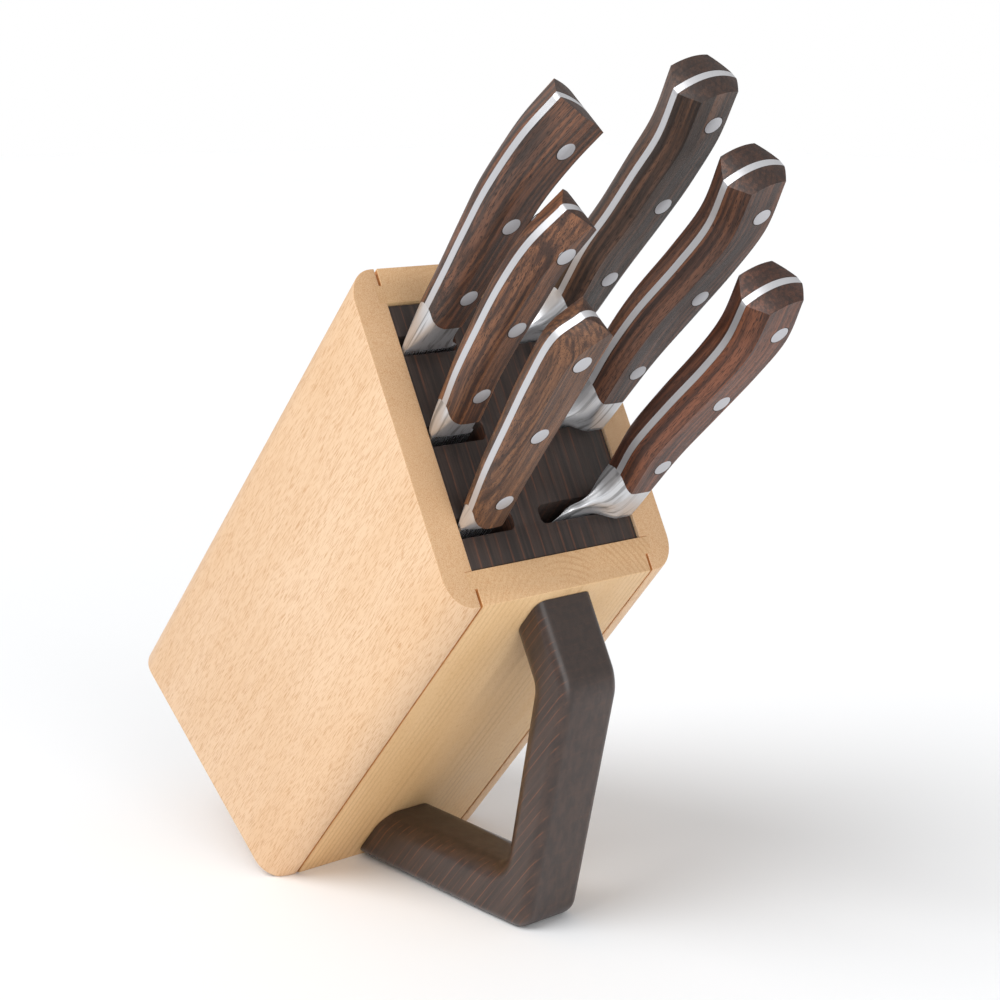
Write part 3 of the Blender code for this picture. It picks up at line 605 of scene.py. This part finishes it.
# %% Slotted plate
INSERT_GAP, INSERT_THICK, INSERT_RECESS = 0.5, 24.0, 1.0
SLOT_WIDTH, SLOT_PITCH = 7.0, 33.5
ROW_X = {"back": -DEPTH / 2 - SLOT_PITCH, "middle": -DEPTH / 2, "front": -DEPTH / 2 + SLOT_PITCH}
# How far from the middle each side's slots end: those for the larger knives run past it.
SLOT_ENDS = {1: -2.6, -1: 16.2}
SLOT_CORNER = 2.4
PLATE_BLANK_LOW = 60.0

plate_back, plate_front = -DEPTH + PANEL_WALL + INSERT_GAP, -PANEL_WALL - INSERT_GAP
plate_half = INNER_HALF - INSERT_GAP
plate_outline, slot_corners = [], []
for side in (1, -1):
    rows = ("front", "middle", "back") if side > 0 else ("back", "middle", "front")
    plate_outline.append((plate_front if side > 0 else plate_back, side * plate_half))
    for row in rows:
        near, far = ROW_X[row] + side * SLOT_WIDTH / 2, ROW_X[row] - side * SLOT_WIDTH / 2
        inner_end, mouth = side * SLOT_ENDS[side], side * plate_half
        plate_outline += [(near, mouth), (near, inner_end), (far, inner_end), (far, mouth)]
        slot_corners += [(near, inner_end), (far, inner_end)]
    plate_outline.append((plate_back if side > 0 else plate_front, side * plate_half))
plate = raise_outline(plate_outline, PLATE_BLANK_LOW, BLANK_TOP)
round_uprights(plate, slot_corners, SLOT_CORNER, 5)
saw(plate, Vector((0.0, 0.0, FRONT_HEIGHT - INSERT_RECESS)), TOP_WAY)
saw(plate, Vector((0.0, 0.0, FRONT_HEIGHT - INSERT_RECESS - INSERT_THICK)), -TOP_WAY)
break_edges(plate, 0.3, 2, 50.0)
finish_piece("slotted_plate", plate, "block", ["slot_insert"], [baked_plate],
             ALONG_X @ Matrix.Rotation(-SLANT, 4, "Y"), 35)

# %% [markdown]
# ## The carry handle
# One thick board, sawn to a bent loop: arm out from the top of the front, grip down, and foot back
# to the bottom of the front. The bends are rounded first, then the long edges: a little outside and
# much more inside the loop, where the fingers go.

# %% Carry handle blank
# The loop is given as (out from the front, height) points. It starts a little clear of the front board.
HANDLE_HALF = 14.5
WALL_END = 0.35
loop_outside = [(0.3, 178.31), (34.0, 164.35), (82.78, 70.57), (62.81, 53.93), (0.3, 4.35)]
loop_inside = [(0.3, 33.71), (56.75, 78.48), (18.43, 148.07), (0.3, 155.58)]
handle = bmesh.new()
sawn = handle.faces.new([handle.verts.new((x, -HANDLE_HALF, z)) for x, z in loop_outside + loop_inside])
pulled = bmesh.ops.extrude_face_region(handle, geom=[sawn])
bmesh.ops.translate(handle, vec=(0.0, 2 * HANDLE_HALF, 0.0),
                    verts=[item for item in pulled["geom"] if isinstance(item, bmesh.types.BMVert)])
bmesh.ops.recalc_face_normals(handle, faces=handle.faces)


def round_bend(shape, place, radius, segments):
    """Rounds the edge across the handle at one corner of the loop to a radius."""
    bend = [edge for edge in shape.edges
            if all((v.co.xz - Vector(place)).length < SAME_PLACE for v in edge.verts)]
    set_back = radius * math.tan(bend[0].calc_face_angle() / 2)
    bmesh.ops.bevel(shape, geom=bend, offset=set_back, offset_type="OFFSET", affect="EDGES",
                    segments=segments, profile=0.5, material=-1)
    return set_back


bend_radii = ((loop_outside[1], 18.0), (loop_outside[2], 9.0), (loop_inside[1], 8.0), (loop_inside[2], 8.0))
for place, radius in bend_radii:
    print("bend set back", round(round_bend(handle, place, radius, 10), 2))

# %% [markdown]
# The long edges outside and inside the loop get different widths, so the script has to tell them
# apart: an edge belongs to whichever of the two lines it lies nearer to.

# %% Round the handle's long edges
def on_inside(edge):
    """True where an edge of the side faces belongs to the inside of the loop."""
    middle = (edge.verts[0].co + edge.verts[1].co) / 2
    spot = Vector((middle.x, middle.z))
    best = {}
    for label, line in (("in", loop_inside), ("out", loop_outside)):
        gaps = []
        for start, end in zip(line, line[1:]):
            start, end = Vector(start), Vector(end)
            share = max(0.0, min(1.0, (spot - start).dot(end - start) / (end - start).length_squared))
            gaps.append((spot - start.lerp(end, share)).length)
        best[label] = min(gaps)
    return best["in"] < best["out"]


for inside, width in ((False, 4.5), (True, 8.5)):
    long_edges = []
    for edge in handle.edges:
        first, second = edge.verts
        flat = abs(abs(first.co.y) - HANDLE_HALF) < 0.01 and abs(first.co.y - second.co.y) < 0.01
        at_wall = first.co.x < WALL_END and second.co.x < WALL_END
        if flat and not at_wall and edge.calc_face_angle() > math.radians(60) and on_inside(edge) == inside:
            long_edges.append(edge)
    bmesh.ops.bevel(handle, geom=long_edges, offset=width, offset_type="OFFSET", affect="EDGES",
                    segments=8, profile=0.5, material=-1, clamp_overlap=False)
finish_piece("handle_loop", handle, "block", ["carry_handle"], [baked_handle], smooth=30)

# %% [markdown]
# ## The knives
# Each knife is one forging, blade, bolster and tang, with two walnut scales and three rivets. The
# handle's side view is drawn as two smooth lines, its cutting-edge side and its spine side. A block
# of unit sides is cut into cells and every corner of it is moved to its place between those lines:
# along the knife, across it, and out from the middle plane. That keeps the mesh even and closed.

# %% Knife outlines
# The two sides of a handle are (height above the plate, distance from the block's middle) points.
# belly and tip_drop bend the edge and the spine of the blade, heel is how far below the plate it
# starts, and thick gives half the handle's thickness at the bolster and at the pommel.
KNIVES = {
    "paring_knife": dict(
        side=-1, row="front", length=85.0, height=19.0, belly=3.0, tip_drop=5.0, thick=(6.8, 8.8),
        heel=0.0, rivets=(0.12, 0.47, 0.82), rivet_line=0.5, bulge=4.0, crown_power=0.5,
        edge_side=((11, 27), (24, 30), (45, 32.5), (66, 34.6), (88, 37), (104, 41)),
        spine_side=((11, 44.6), (33, 50), (57, 54.2), (80, 58), (101, 59.6), (110.8, 52.5)),
    ),
    "utility_knife": dict(
        side=-1, row="middle", length=120.0, height=21.0, belly=4.0, tip_drop=2.0, thick=(7.0, 9.3),
        heel=0.0, rivets=(0.13, 0.5, 0.86), rivet_line=0.46, bulge=1.5,
        edge_side=((18, 28), (34, 32), (52, 34), (72, 35), (92, 36), (110, 34)),
        spine_side=((18, 46.8), (35, 50.6), (55, 53.2), (78, 55.3), (98, 54), (115, 47)),
    ),
    "slicing_knife": dict(
        side=-1, row="back", length=150.0, height=26.0, belly=5.0, tip_drop=2.0, thick=(7.6, 10.0),
        heel=0.0, rivets=(0.11, 0.48, 0.85), rivet_line=0.5, bulge=1.5,
        edge_side=((23, 26), (45, 25), (64, 25), (83, 24.8), (99, 22), (112.5, 18)),
        spine_side=((23, 44.6), (41, 46), (61, 47.8), (82, 49), (105, 46.8), (123.5, 40.7)),
    ),
    "santoku_knife": dict(
        side=1, row="front", length=170.0, height=43.0, belly=3.5, tip_drop=22.0, thick=(8.0, 10.0),
        heel=12.0, rivets=(0.115, 0.475, 0.86), rivet_line=0.55, bulge=4.0,
        edge_side=((21.5, 24), (38, 21.6), (58, 25), (78, 30.2), (94, 31.6), (112.6, 26.6)),
        spine_side=((21.5, 45), (40, 47), (60, 51.5), (82, 56), (102, 57), (122, 49.5)),
    ),
    "carving_knife": dict(
        side=1, row="middle", length=185.0, height=32.0, belly=4.0, tip_drop=3.0, thick=(8.0, 10.0),
        heel=10.0, rivets=(0.12, 0.495, 0.88), rivet_line=0.55, bulge=4.0,
        edge_side=((22.5, 24), (42, 22), (62, 23), (84, 28), (104, 30.4), (125.2, 24.5)),
        spine_side=((22.5, 45), (44, 47), (66, 51), (90, 55), (112, 55.5), (134, 48)),
    ),
    "chefs_knife": dict(
        side=1, row="back", length=200.0, height=45.0, belly=2.2, tip_drop=3.0, thick=(8.0, 10.0),
        heel=14.0, rivets=(0.13, 0.505, 0.885), rivet_line=0.55, bulge=4.0,
        edge_side=((24, 22), (48, 19.3), (66, 20.6), (85, 20.8), (104, 21), (124.8, 15.6)),
        spine_side=((24, 44.6), (44, 45.6), (66, 47.5), (88, 48.5), (112, 46.8), (132, 41)),
    ),
}
TANG_HALF, RIVET_RADIUS, SPINE_HALF, EDGE_HALF = 1.4, 3.75, 1.2, 0.15
FLANK, BELLY_FLANK = 6.2, 4.0
SPINE_LINE = INNER_HALF - 0.6
FLANK_TURN = math.radians(55)
WOOD_DIP = 5.0
print("knives", len(KNIVES))

# %% [markdown]
# A smooth line through a few points needs no editing by hand: each stretch is a cubic curve that
# leaves a point in the direction from the one before it to the one after it. The flanks of a handle
# are arcs, and the end of the wood at the bolster is a deep U with round corners.

# %% Knife helpers
def along(points, share):
    """The point at a share of the way along a smooth line through the given points."""
    points = [Vector(point) for point in points]
    reach = share * (len(points) - 1)
    index = min(int(reach), len(points) - 2)
    part = reach - index
    start, end = points[index], points[index + 1]
    before = points[index - 1] if index else start * 2 - end
    after = points[index + 2] if index + 2 < len(points) else end * 2 - start
    way_in, way_out = (end - before) / 2, (after - start) / 2
    return (start * (2 * part**3 - 3 * part**2 + 1) + way_in * (part**3 - 2 * part**2 + part)
            + end * (3 * part**2 - 2 * part**3) + way_out * (part**3 - part**2))


def ease(value, low=0.0, high=1.0):
    """0 below low, 1 above high, and smooth in between."""
    share = max(0.0, min(1.0, (value - low) / (high - low)))
    return share * share * (3 - 2 * share)


def cut_block(cells):
    """A unit block cut into cells along its three axes."""
    shape = bmesh.new()
    bmesh.ops.create_cube(shape, size=1.0, matrix=Matrix.Translation((0.5, 0.5, 0.5)))
    for axis, count in enumerate(cells):
        if count > 1:
            edges = [e for e in shape.edges if abs(e.verts[0].co[axis] - e.verts[1].co[axis]) > 0.9]
            bmesh.ops.subdivide_edges(shape, edges=edges, cuts=count - 1)
    return shape


def side_height(across, width, thick, straight=0.0):
    """How far the handle's side stands out at a share of the way from the belly to the spine."""
    flank = BELLY_FLANK if across < 0.5 else FLANK
    distance = max(min(across, 1 - across), 0.0) * width
    if distance >= flank:
        return thick
    turn = math.acos(max(-1.0, 1 - (1 - math.cos(FLANK_TURN)) * distance / flank))
    curved = math.sin(turn) / math.sin(FLANK_TURN)
    share = curved + straight * (distance / flank - curved)
    return TANG_HALF + (thick - TANG_HALF) * share


def scoop(across):
    """Where the wood ends at the bolster: low in the middle, with a round corner at each strip."""
    return 1 - abs(2 * across - 1) ** 4.5


def half_thickness(knife, share):
    """Half the handle's thickness at a share of the way from the bolster to the pommel."""
    return knife["thick"][0] + (knife["thick"][1] - knife["thick"][0]) * share


def handle_spot(knife, share, across):
    """(height, distance) in the knife's plane. The pommel bulges and the bolster end dips in a U."""
    low, high = along(knife["edge_side"], share), along(knife["spine_side"], share)
    spot = low.lerp(high, across)
    end_way = Vector((high.y - low.y, low.x - high.x)).normalized()
    crown = (1 - abs(2 * across - 1) ** 2.0) ** knife.get("crown_power", 1.0)
    spot += end_way * knife["bulge"] * crown * ease(share, 0.8, 1.0)
    spot.x -= WOOD_DIP * scoop(across) * max(0.0, 1 - share / 0.12)
    return spot


# %% [markdown]
# A scale rises steeply from the bright strip, curves over to a ridge, and is flat from ridge to
# ridge, where the rivets sit. Towards the pommel the curve straightens to a chamfer. Its ridges and
# the outline of its foot are left as crisp lines.

# %% Walnut scales
SCALE_CELLS = (44, 26, 1)
RIDGE_CELLS = 9
CHAMFER = 0.85
SCALE_PROUD = 0.03
# The two scales of a knife come from this far either side of the middle of one piece of walnut.
BLANKS_APART = 40.0


def scale_across(share, width):
    """Cells sit close together on the rounded flanks and wide apart on the flat."""
    cell = share * SCALE_CELLS[1]
    for flank, from_end in ((BELLY_FLANK, cell), (FLANK, SCALE_CELLS[1] - cell)):
        if from_end <= RIDGE_CELLS:
            turn = FLANK_TURN * from_end / RIDGE_CELLS
            inward = flank * (1 - math.cos(turn)) / (1 - math.cos(FLANK_TURN)) / width
            return inward if flank == BELLY_FLANK else 1 - inward
    flat = (cell - RIDGE_CELLS) / (SCALE_CELLS[1] - 2 * RIDGE_CELLS)
    return (BELLY_FLANK + flat * (width - BELLY_FLANK - FLANK)) / width


def knife_point(knife, out, spot):
    """From the knife's own plane to block millimetres."""
    x = knife["x"] + out
    return Vector((x, knife["side"] * spot.y, knife["top"] + spot.x))


def make_scale(knife, face):
    """The scale on one face of a knife: 1 for the front, -1 for the back."""
    shape = cut_block(SCALE_CELLS)
    ridge = {RIDGE_CELLS, SCALE_CELLS[1] - RIDGE_CELLS}
    for edge in shape.edges:
        first, second = (v.co for v in edge.verts)
        on_ridge = first.z > 0.5 and second.z > 0.5 and {round(first.y * SCALE_CELLS[1])} & ridge
        same_line = abs(first.y - second.y) < 1e-4
        at_end = min(first.x, second.x) > 0.999 or max(first.x, second.x) < 0.001
        at_strip = (min(first.y, second.y) > 0.999 or max(first.y, second.y) < 0.001) and same_line
        if (on_ridge and same_line) or at_end or at_strip:
            edge.smooth = False
    # The blank is chosen so that its grain follows the curve of the handle.
    layer = shape.verts.layers.float_vector.new("grain")
    for corner_point in shape.verts:
        share, place, out = corner_point.co
        width = (along(knife["spine_side"], share) - along(knife["edge_side"], share)).length
        across = scale_across(place, width)
        straight = CHAMFER * ease(share, 0.5, 1.0)
        thick = half_thickness(knife, share)
        height = side_height(across, width, thick, straight) if out > 0.5 else TANG_HALF
        spot = handle_spot(knife, share, across)
        corner_point.co = knife_point(knife, face * (height + SCALE_PROUD), spot)
        beside = across * width
        corner_point[layer] = (beside + BLANKS_APART * face, 0.8 * height, spot.x + 0.02 * beside)
    return shape


# %% [markdown]
# The forging is one block from tip to pommel. The blade is a thin wedge. At the bolster it swells in a
# hollow sweep to the full thickness of the handle, and on the long knives the sweep runs out into the
# blade's heel. Behind the bolster it drops to the flat tang.

# %% Lines of the forging
BLADE_ROWS, BOLSTER_ROWS, TANG_ROWS = 30, 16, 44
FORGING_ACROSS = 40
TIP_WIDTH, TIP_HALF = 1.2, 0.5
GRIND_SHARE = 0.7
# How far the sweep has still to go to the heel's line at shares of its height.
SWEEP_SHAPE = ((0.08, 0.62), (0.25, 0.34), (0.55, 0.12))


def blade_row(knife, share):
    """Edge and spine of the blade at a share of the way from the heel to the tip."""
    start = 0.0 - knife["heel"]
    level = start - share * (knife["length"] + start)
    spine = SPINE_LINE - knife["tip_drop"] * share**3
    edge = min(SPINE_LINE - knife["height"] * (1 - share ** knife["belly"]), spine - TIP_WIDTH)
    return Vector((level, edge)), Vector((level, spine)), SPINE_HALF - (SPINE_HALF - TIP_HALF) * share


def blade_half(across, half):
    """Half the blade's thickness: a wedge from the edge to the ground part, then even to the spine."""
    return EDGE_HALF + (half - EDGE_HALF) * min(1.0, across / GRIND_SHARE)


def sweep_edge(knife, share):
    """The hollow line by which the bolster runs out into the heel of the blade."""
    end = Vector(knife["edge_side"][0])
    heel_line = SPINE_LINE - knife["height"]
    line = [(-knife["heel"], heel_line)]
    for height_share, spread in SWEEP_SHAPE:
        line.append((height_share * end.x, end.y + (heel_line - end.y) * spread))
    return along(line + [tuple(end)], share)


# %% [markdown]
# The corners of the forging's cells are placed row by row. Across the knife the cells are narrow at
# the edge and at the spine, where the shape turns most. A long knife's bolster stays thick beside the
# spine down to the plate, and a short one's thins out.

# %% Places on the forging
# Below this height over the plate every section is the blade's, so that it fits the slot.
BLADE_LEVEL = 0.9
SWELL_START, SWELL_FULL = 17.0, 31.0
THIN_NECK = 0.8


def forging_point(knife, row, place, out):
    """A corner's (height, distance) and how far it stands out, from its row and its place across."""
    across = (1 - math.cos(math.pi * place)) / 2
    edge_end, spine_end = Vector(knife["edge_side"][0]), Vector(knife["spine_side"][0])
    thick = knife["thick"][0]
    if row <= BLADE_ROWS:
        low, high, half = blade_row(knife, 1 - row / BLADE_ROWS)
        return low.lerp(high, across), out * blade_half(across, half)
    if row <= BLADE_ROWS + BOLSTER_ROWS:
        rise = (row - BLADE_ROWS) / BOLSTER_ROWS
        swept = sweep_edge(knife, rise)
        high = Vector((swept.x + (spine_end.x - edge_end.x) * rise,
                       SPINE_LINE + (spine_end.y - SPINE_LINE) * rise))
        spot = swept.lerp(high, across)
        spot.x -= WOOD_DIP * scoop(across) * ease(rise, 0.35, 1.0)
        climb = max(spot.x, 0.0) / edge_end.x
        level = ease(climb, 0.02, 0.95) if knife["heel"] else math.sqrt(min(climb, 1.0))
        width = high.y - swept.y
        top_half = side_height(across, width, thick)
        swell = ease(spot.y, SWELL_START + 3.0 * level, SWELL_FULL - 1.0 * level) if knife["heel"] else 0.0
        spine_in = side_height(max(across, 0.5), width, thick)
        low_half = min(SPINE_HALF * THIN_NECK + (thick - SPINE_HALF) * swell, spine_in)
        body = top_half * level + low_half * (1 - level)
        if spot.x < BLADE_LEVEL:
            body = blade_half(across, SPINE_HALF)
        return spot, out * body
    share = (row - BLADE_ROWS - BOLSTER_ROWS - 1) / (TANG_ROWS - 1)
    return handle_spot(knife, share, across), out * TANG_HALF


# %% [markdown]
# Each cell takes one of three finishes: the satin bolster, the buffed tang or the ground blade. The
# lines where they meet, and the corners of tang and blade, stay crisp.

# %% Forged blade, bolster and tang
def make_forging(knife):
    """One knife's steel, from tip to pommel."""
    rows = BLADE_ROWS + BOLSTER_ROWS + TANG_ROWS
    shape = cut_block((rows, FORGING_ACROSS, 2))
    step = BLADE_ROWS + BOLSTER_ROWS
    for face in shape.faces:
        if min(round(v.co.x * rows) for v in face.verts) > step:
            face.material_index = 1
        elif max(round(v.co.x * rows) for v in face.verts) <= BLADE_ROWS:
            face.material_index = 2
    for edge in shape.edges:
        here = [round(v.co.x * rows) for v in edge.verts]
        outer = all(abs(v.co.z - 0.5) > 0.4 for v in edge.verts)
        rim = all(v.co.y < 0.001 or v.co.y > 0.999 for v in edge.verts)
        if outer and here[0] == here[1] and here[0] in (step, step + 1, BLADE_ROWS, BLADE_ROWS + 1, rows):
            edge.smooth = False
        if outer and rim and here[0] != here[1] and (min(here) > step or max(here) <= BLADE_ROWS):
            edge.smooth = False
    # The grinding lines follow the rows of the forging, so they sweep down from bolster to blade.
    layer = shape.verts.layers.float_vector.new("grain")
    for corner_point in shape.verts:
        row, place, out = corner_point.co
        spot, half = forging_point(knife, round(row * rows), place, 2 * out - 1)
        corner_point.co = knife_point(knife, half, spot)
        corner_point[layer] = (place * 24.0, half + knife["x"], spot.x)
    bmesh.ops.remove_doubles(shape, verts=shape.verts, dist=0.004)
    return shape


# %% [markdown]
# A rivet is a turned pin through both scales, ground nearly flush. It gets its slightly domed face
# from a bevel, and a dark hairline ring round it where it meets the wood.

# %% Rivets
RIVET_SIDES = 40
RIVET_PROUD, RIVET_DOME = 0.16, 0.22
RING_WIDTH, RING_PROUD, RING_THICK = 0.3, 0.045, 0.06
ALONG_PIN = Matrix.Rotation(math.pi / 2, 4, "Y")


def make_rivets(knife):
    """The three rivets of a knife, with the hairline rings on both of its faces."""
    shape = bmesh.new()
    for share in knife["rivets"]:
        low, high = along(knife["edge_side"], share), along(knife["spine_side"], share)
        middle = low.lerp(high, knife["rivet_line"])
        half = half_thickness(knife, share)
        centre = knife_point(knife, 0.0, middle)
        made = bmesh.ops.create_cone(
            shape, cap_ends=True, segments=RIVET_SIDES, radius1=RIVET_RADIUS, radius2=RIVET_RADIUS,
            depth=2 * (half + RIVET_PROUD), matrix=Matrix.Translation(centre) @ ALONG_PIN)
        caps = [e for e in {e for v in made["verts"] for e in v.link_edges}
                if abs(e.verts[0].co.x - e.verts[1].co.x) < 0.01]
        bmesh.ops.bevel(shape, geom=caps, offset=RIVET_DOME, offset_type="OFFSET", affect="EDGES",
                        segments=3, profile=0.5, material=-1)
        for way in (-1, 1):
            on_face = Matrix.Translation(centre + Vector((way * (half + RING_PROUD), 0, 0)))
            ring = bmesh.ops.create_cone(
                shape, cap_ends=True, segments=RIVET_SIDES, radius1=RIVET_RADIUS + RING_WIDTH,
                radius2=RIVET_RADIUS + RING_WIDTH, depth=RING_THICK, matrix=on_face @ ALONG_PIN)
            for face in {f for v in ring["verts"] for f in v.link_faces}:
                face.material_index = 1
    return shape


# %% [markdown]
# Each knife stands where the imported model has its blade. The height of the plate there follows from
# the slant of the top, and every point of the knife is given from that height.

# %% Build the six knives
for name, knife in KNIVES.items():
    low, high = span(name + "_blade", OUT)
    knife["x"] = (low + high) / 2 - front_face
    knife["top"] = FRONT_HEIGHT - knife["x"] * math.tan(SLANT)
    print(name, "plane at", round(knife["x"], 2), "row", round(ROW_X[knife["row"]], 2))
    finish_piece(name + "_forging", make_forging(knife), name, [name + "_blade"],
                 [satin_steel, polished_steel, blade_steel])
    for label, face in (("front", 1), ("back", -1)):
        finish_piece(f"{name}_walnut_{label}", make_scale(knife, face), name, [f"{name}_scale_{label}"],
                     [walnut[name]])
    finish_piece(name + "_rivets", make_rivets(knife), name, [f"{name}_rivet_{n}" for n in (1, 2, 3)],
                 [rivet_steel, seam], ALONG_X, 35)

# %% [markdown]
# ## What stays as packed
# Inside the block nothing needs a new shape: floor, guide plate, battens, dowels and screws keep
# their CAD meshes and only take a finish.

# %% Finish the hidden parts
hidden = ["bottom_panel", "blade_guide", "insert_batten_front", "insert_batten_back"]
hidden += [node for node in nodes if node.startswith(("handle_dowel", "handle_screw"))]
for node in hidden:
    nodes[node].data.materials.clear()
    nodes[node].data.materials.append(screw_steel if "screw" in node else beech_inside)
print("hidden parts finished", len(hidden))

# %% [markdown]
# ## Floor, light and camera
# A pale, nearly white table and soft daylight from the left, with a weaker fill from the right, show
# wood well: the side board is bright, the front half shaded, and shadows stay pale and blurred.

# %% Floor
TABLE_HALF = 6.0
floor = bmesh.new()
bmesh.ops.create_grid(floor, x_segments=1, y_segments=1, size=TABLE_HALF)
floor_mesh = bpy.data.meshes.new("table_top")
floor.to_mesh(floor_mesh)
floor.free()
table_top = bpy.data.objects.new("table_top", floor_mesh)
bpy.context.scene.collection.objects.link(table_top)
pale, pale_tree, pale_shader = new_finish("pale_matt_table")
pale_place = put(pale_tree, "TexCoord").outputs["Object"]
pale_cloud = put(pale_tree, "TexNoise", None, {"Vector": pale_place, "Scale": 3.0, "Detail": 3.0})
pale_colour = put(pale_tree, "Mix", COLOURS, {
    SHARE: pale_cloud.outputs["Fac"], UNDER: linear("#f4f5f7"), OVER: linear("#f6f7f8")})
pale_tree.links.new(pale_colour.outputs[BLENDED], pale_shader.inputs["Base Color"])
pale_shader.inputs["Roughness"].default_value = 0.9
pale_shader.inputs["Specular IOR Level"].default_value = 0.1
floor_mesh.materials.append(pale)
table_top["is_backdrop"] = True
print("table top", 2 * TABLE_HALF, "m across")

# %% [markdown]
# A sun lamp that fills a wide angle of the sky gives the soft-edged shadows of a large window. The
# surroundings look white to the camera, but light the block at about half that strength, so that the
# window's light still shapes it.

# %% Lights
def sun(name, strength, blur, towards):
    """Soft light from one side. blur is the angle the lamp fills in the sky, in degrees."""
    lamp = bpy.data.lights.new(name, "SUN")
    lamp.energy = strength
    lamp.angle = math.radians(blur)
    held = bpy.data.objects.new(name, lamp)
    held.rotation_euler = Vector(towards).to_track_quat("Z", "Y").to_euler()
    bpy.context.scene.collection.objects.link(held)
    print(name, "strength", strength)


# Each lamp's direction points from the object to the light.
LIT_AS, SEEN_AS = 0.55, 1.0
sun("window_left", 1.8, 42.0, (-0.15, -0.9, 1.1))
sun("fill_right", 1.3, 45.0, (0.9, -0.35, 0.3))
world = bpy.context.scene.world or bpy.data.worlds.new("studio")
bpy.context.scene.world = world
world.use_nodes = True
sky = world.node_tree
surroundings = sky.nodes["Background"]
seen = put(sky, "LightPath").outputs["Is Camera Ray"]
# A Mix node that blends numbers takes them at sockets 2 and 3, and gives the blend at output 0.
glow = put(sky, "Mix", {"data_type": "FLOAT"}, {SHARE: seen, 2: LIT_AS, 3: SEEN_AS})
surroundings.inputs["Color"].default_value = (1.0, 1.0, 1.0, 1.0)
sky.links.new(glow.outputs[0], surroundings.inputs["Strength"])
bpy.context.scene.view_settings.view_transform = "Standard"

# %% [markdown]
# A lens of about 75 mm from a little under a metre away shows the block without stretching its
# near corner. The small shifts move the picture in the frame and leave the perspective alone.

# %% Camera
lens = bpy.data.cameras.new("camera")
lens.lens, lens.sensor_width = 74.7, 36.0
lens.shift_x, lens.shift_y = 0.0056, 0.0173
lens.clip_start, lens.clip_end = 0.01, 50.0
camera = bpy.data.objects.new("camera", lens)
camera.location = (0.66663, -0.53241, 0.33300)
camera.rotation_euler = [math.radians(angle) for angle in (77.7032, -0.5574, 48.2100)]
bpy.context.scene.collection.objects.link(camera)
bpy.context.scene.camera = camera
print(f"camera {camera.location.length:.2f} m from the block's resting edge")

# %% [markdown]
# The boxes of the imported model and of the dressed one are printed side by side.

# %% Print both sizes
visual_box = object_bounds()
for label, box in (("cad", cad_box), ("visual", visual_box)):
    print(label, [[round(value, 4) for value in corner_values] for corner_values in box])
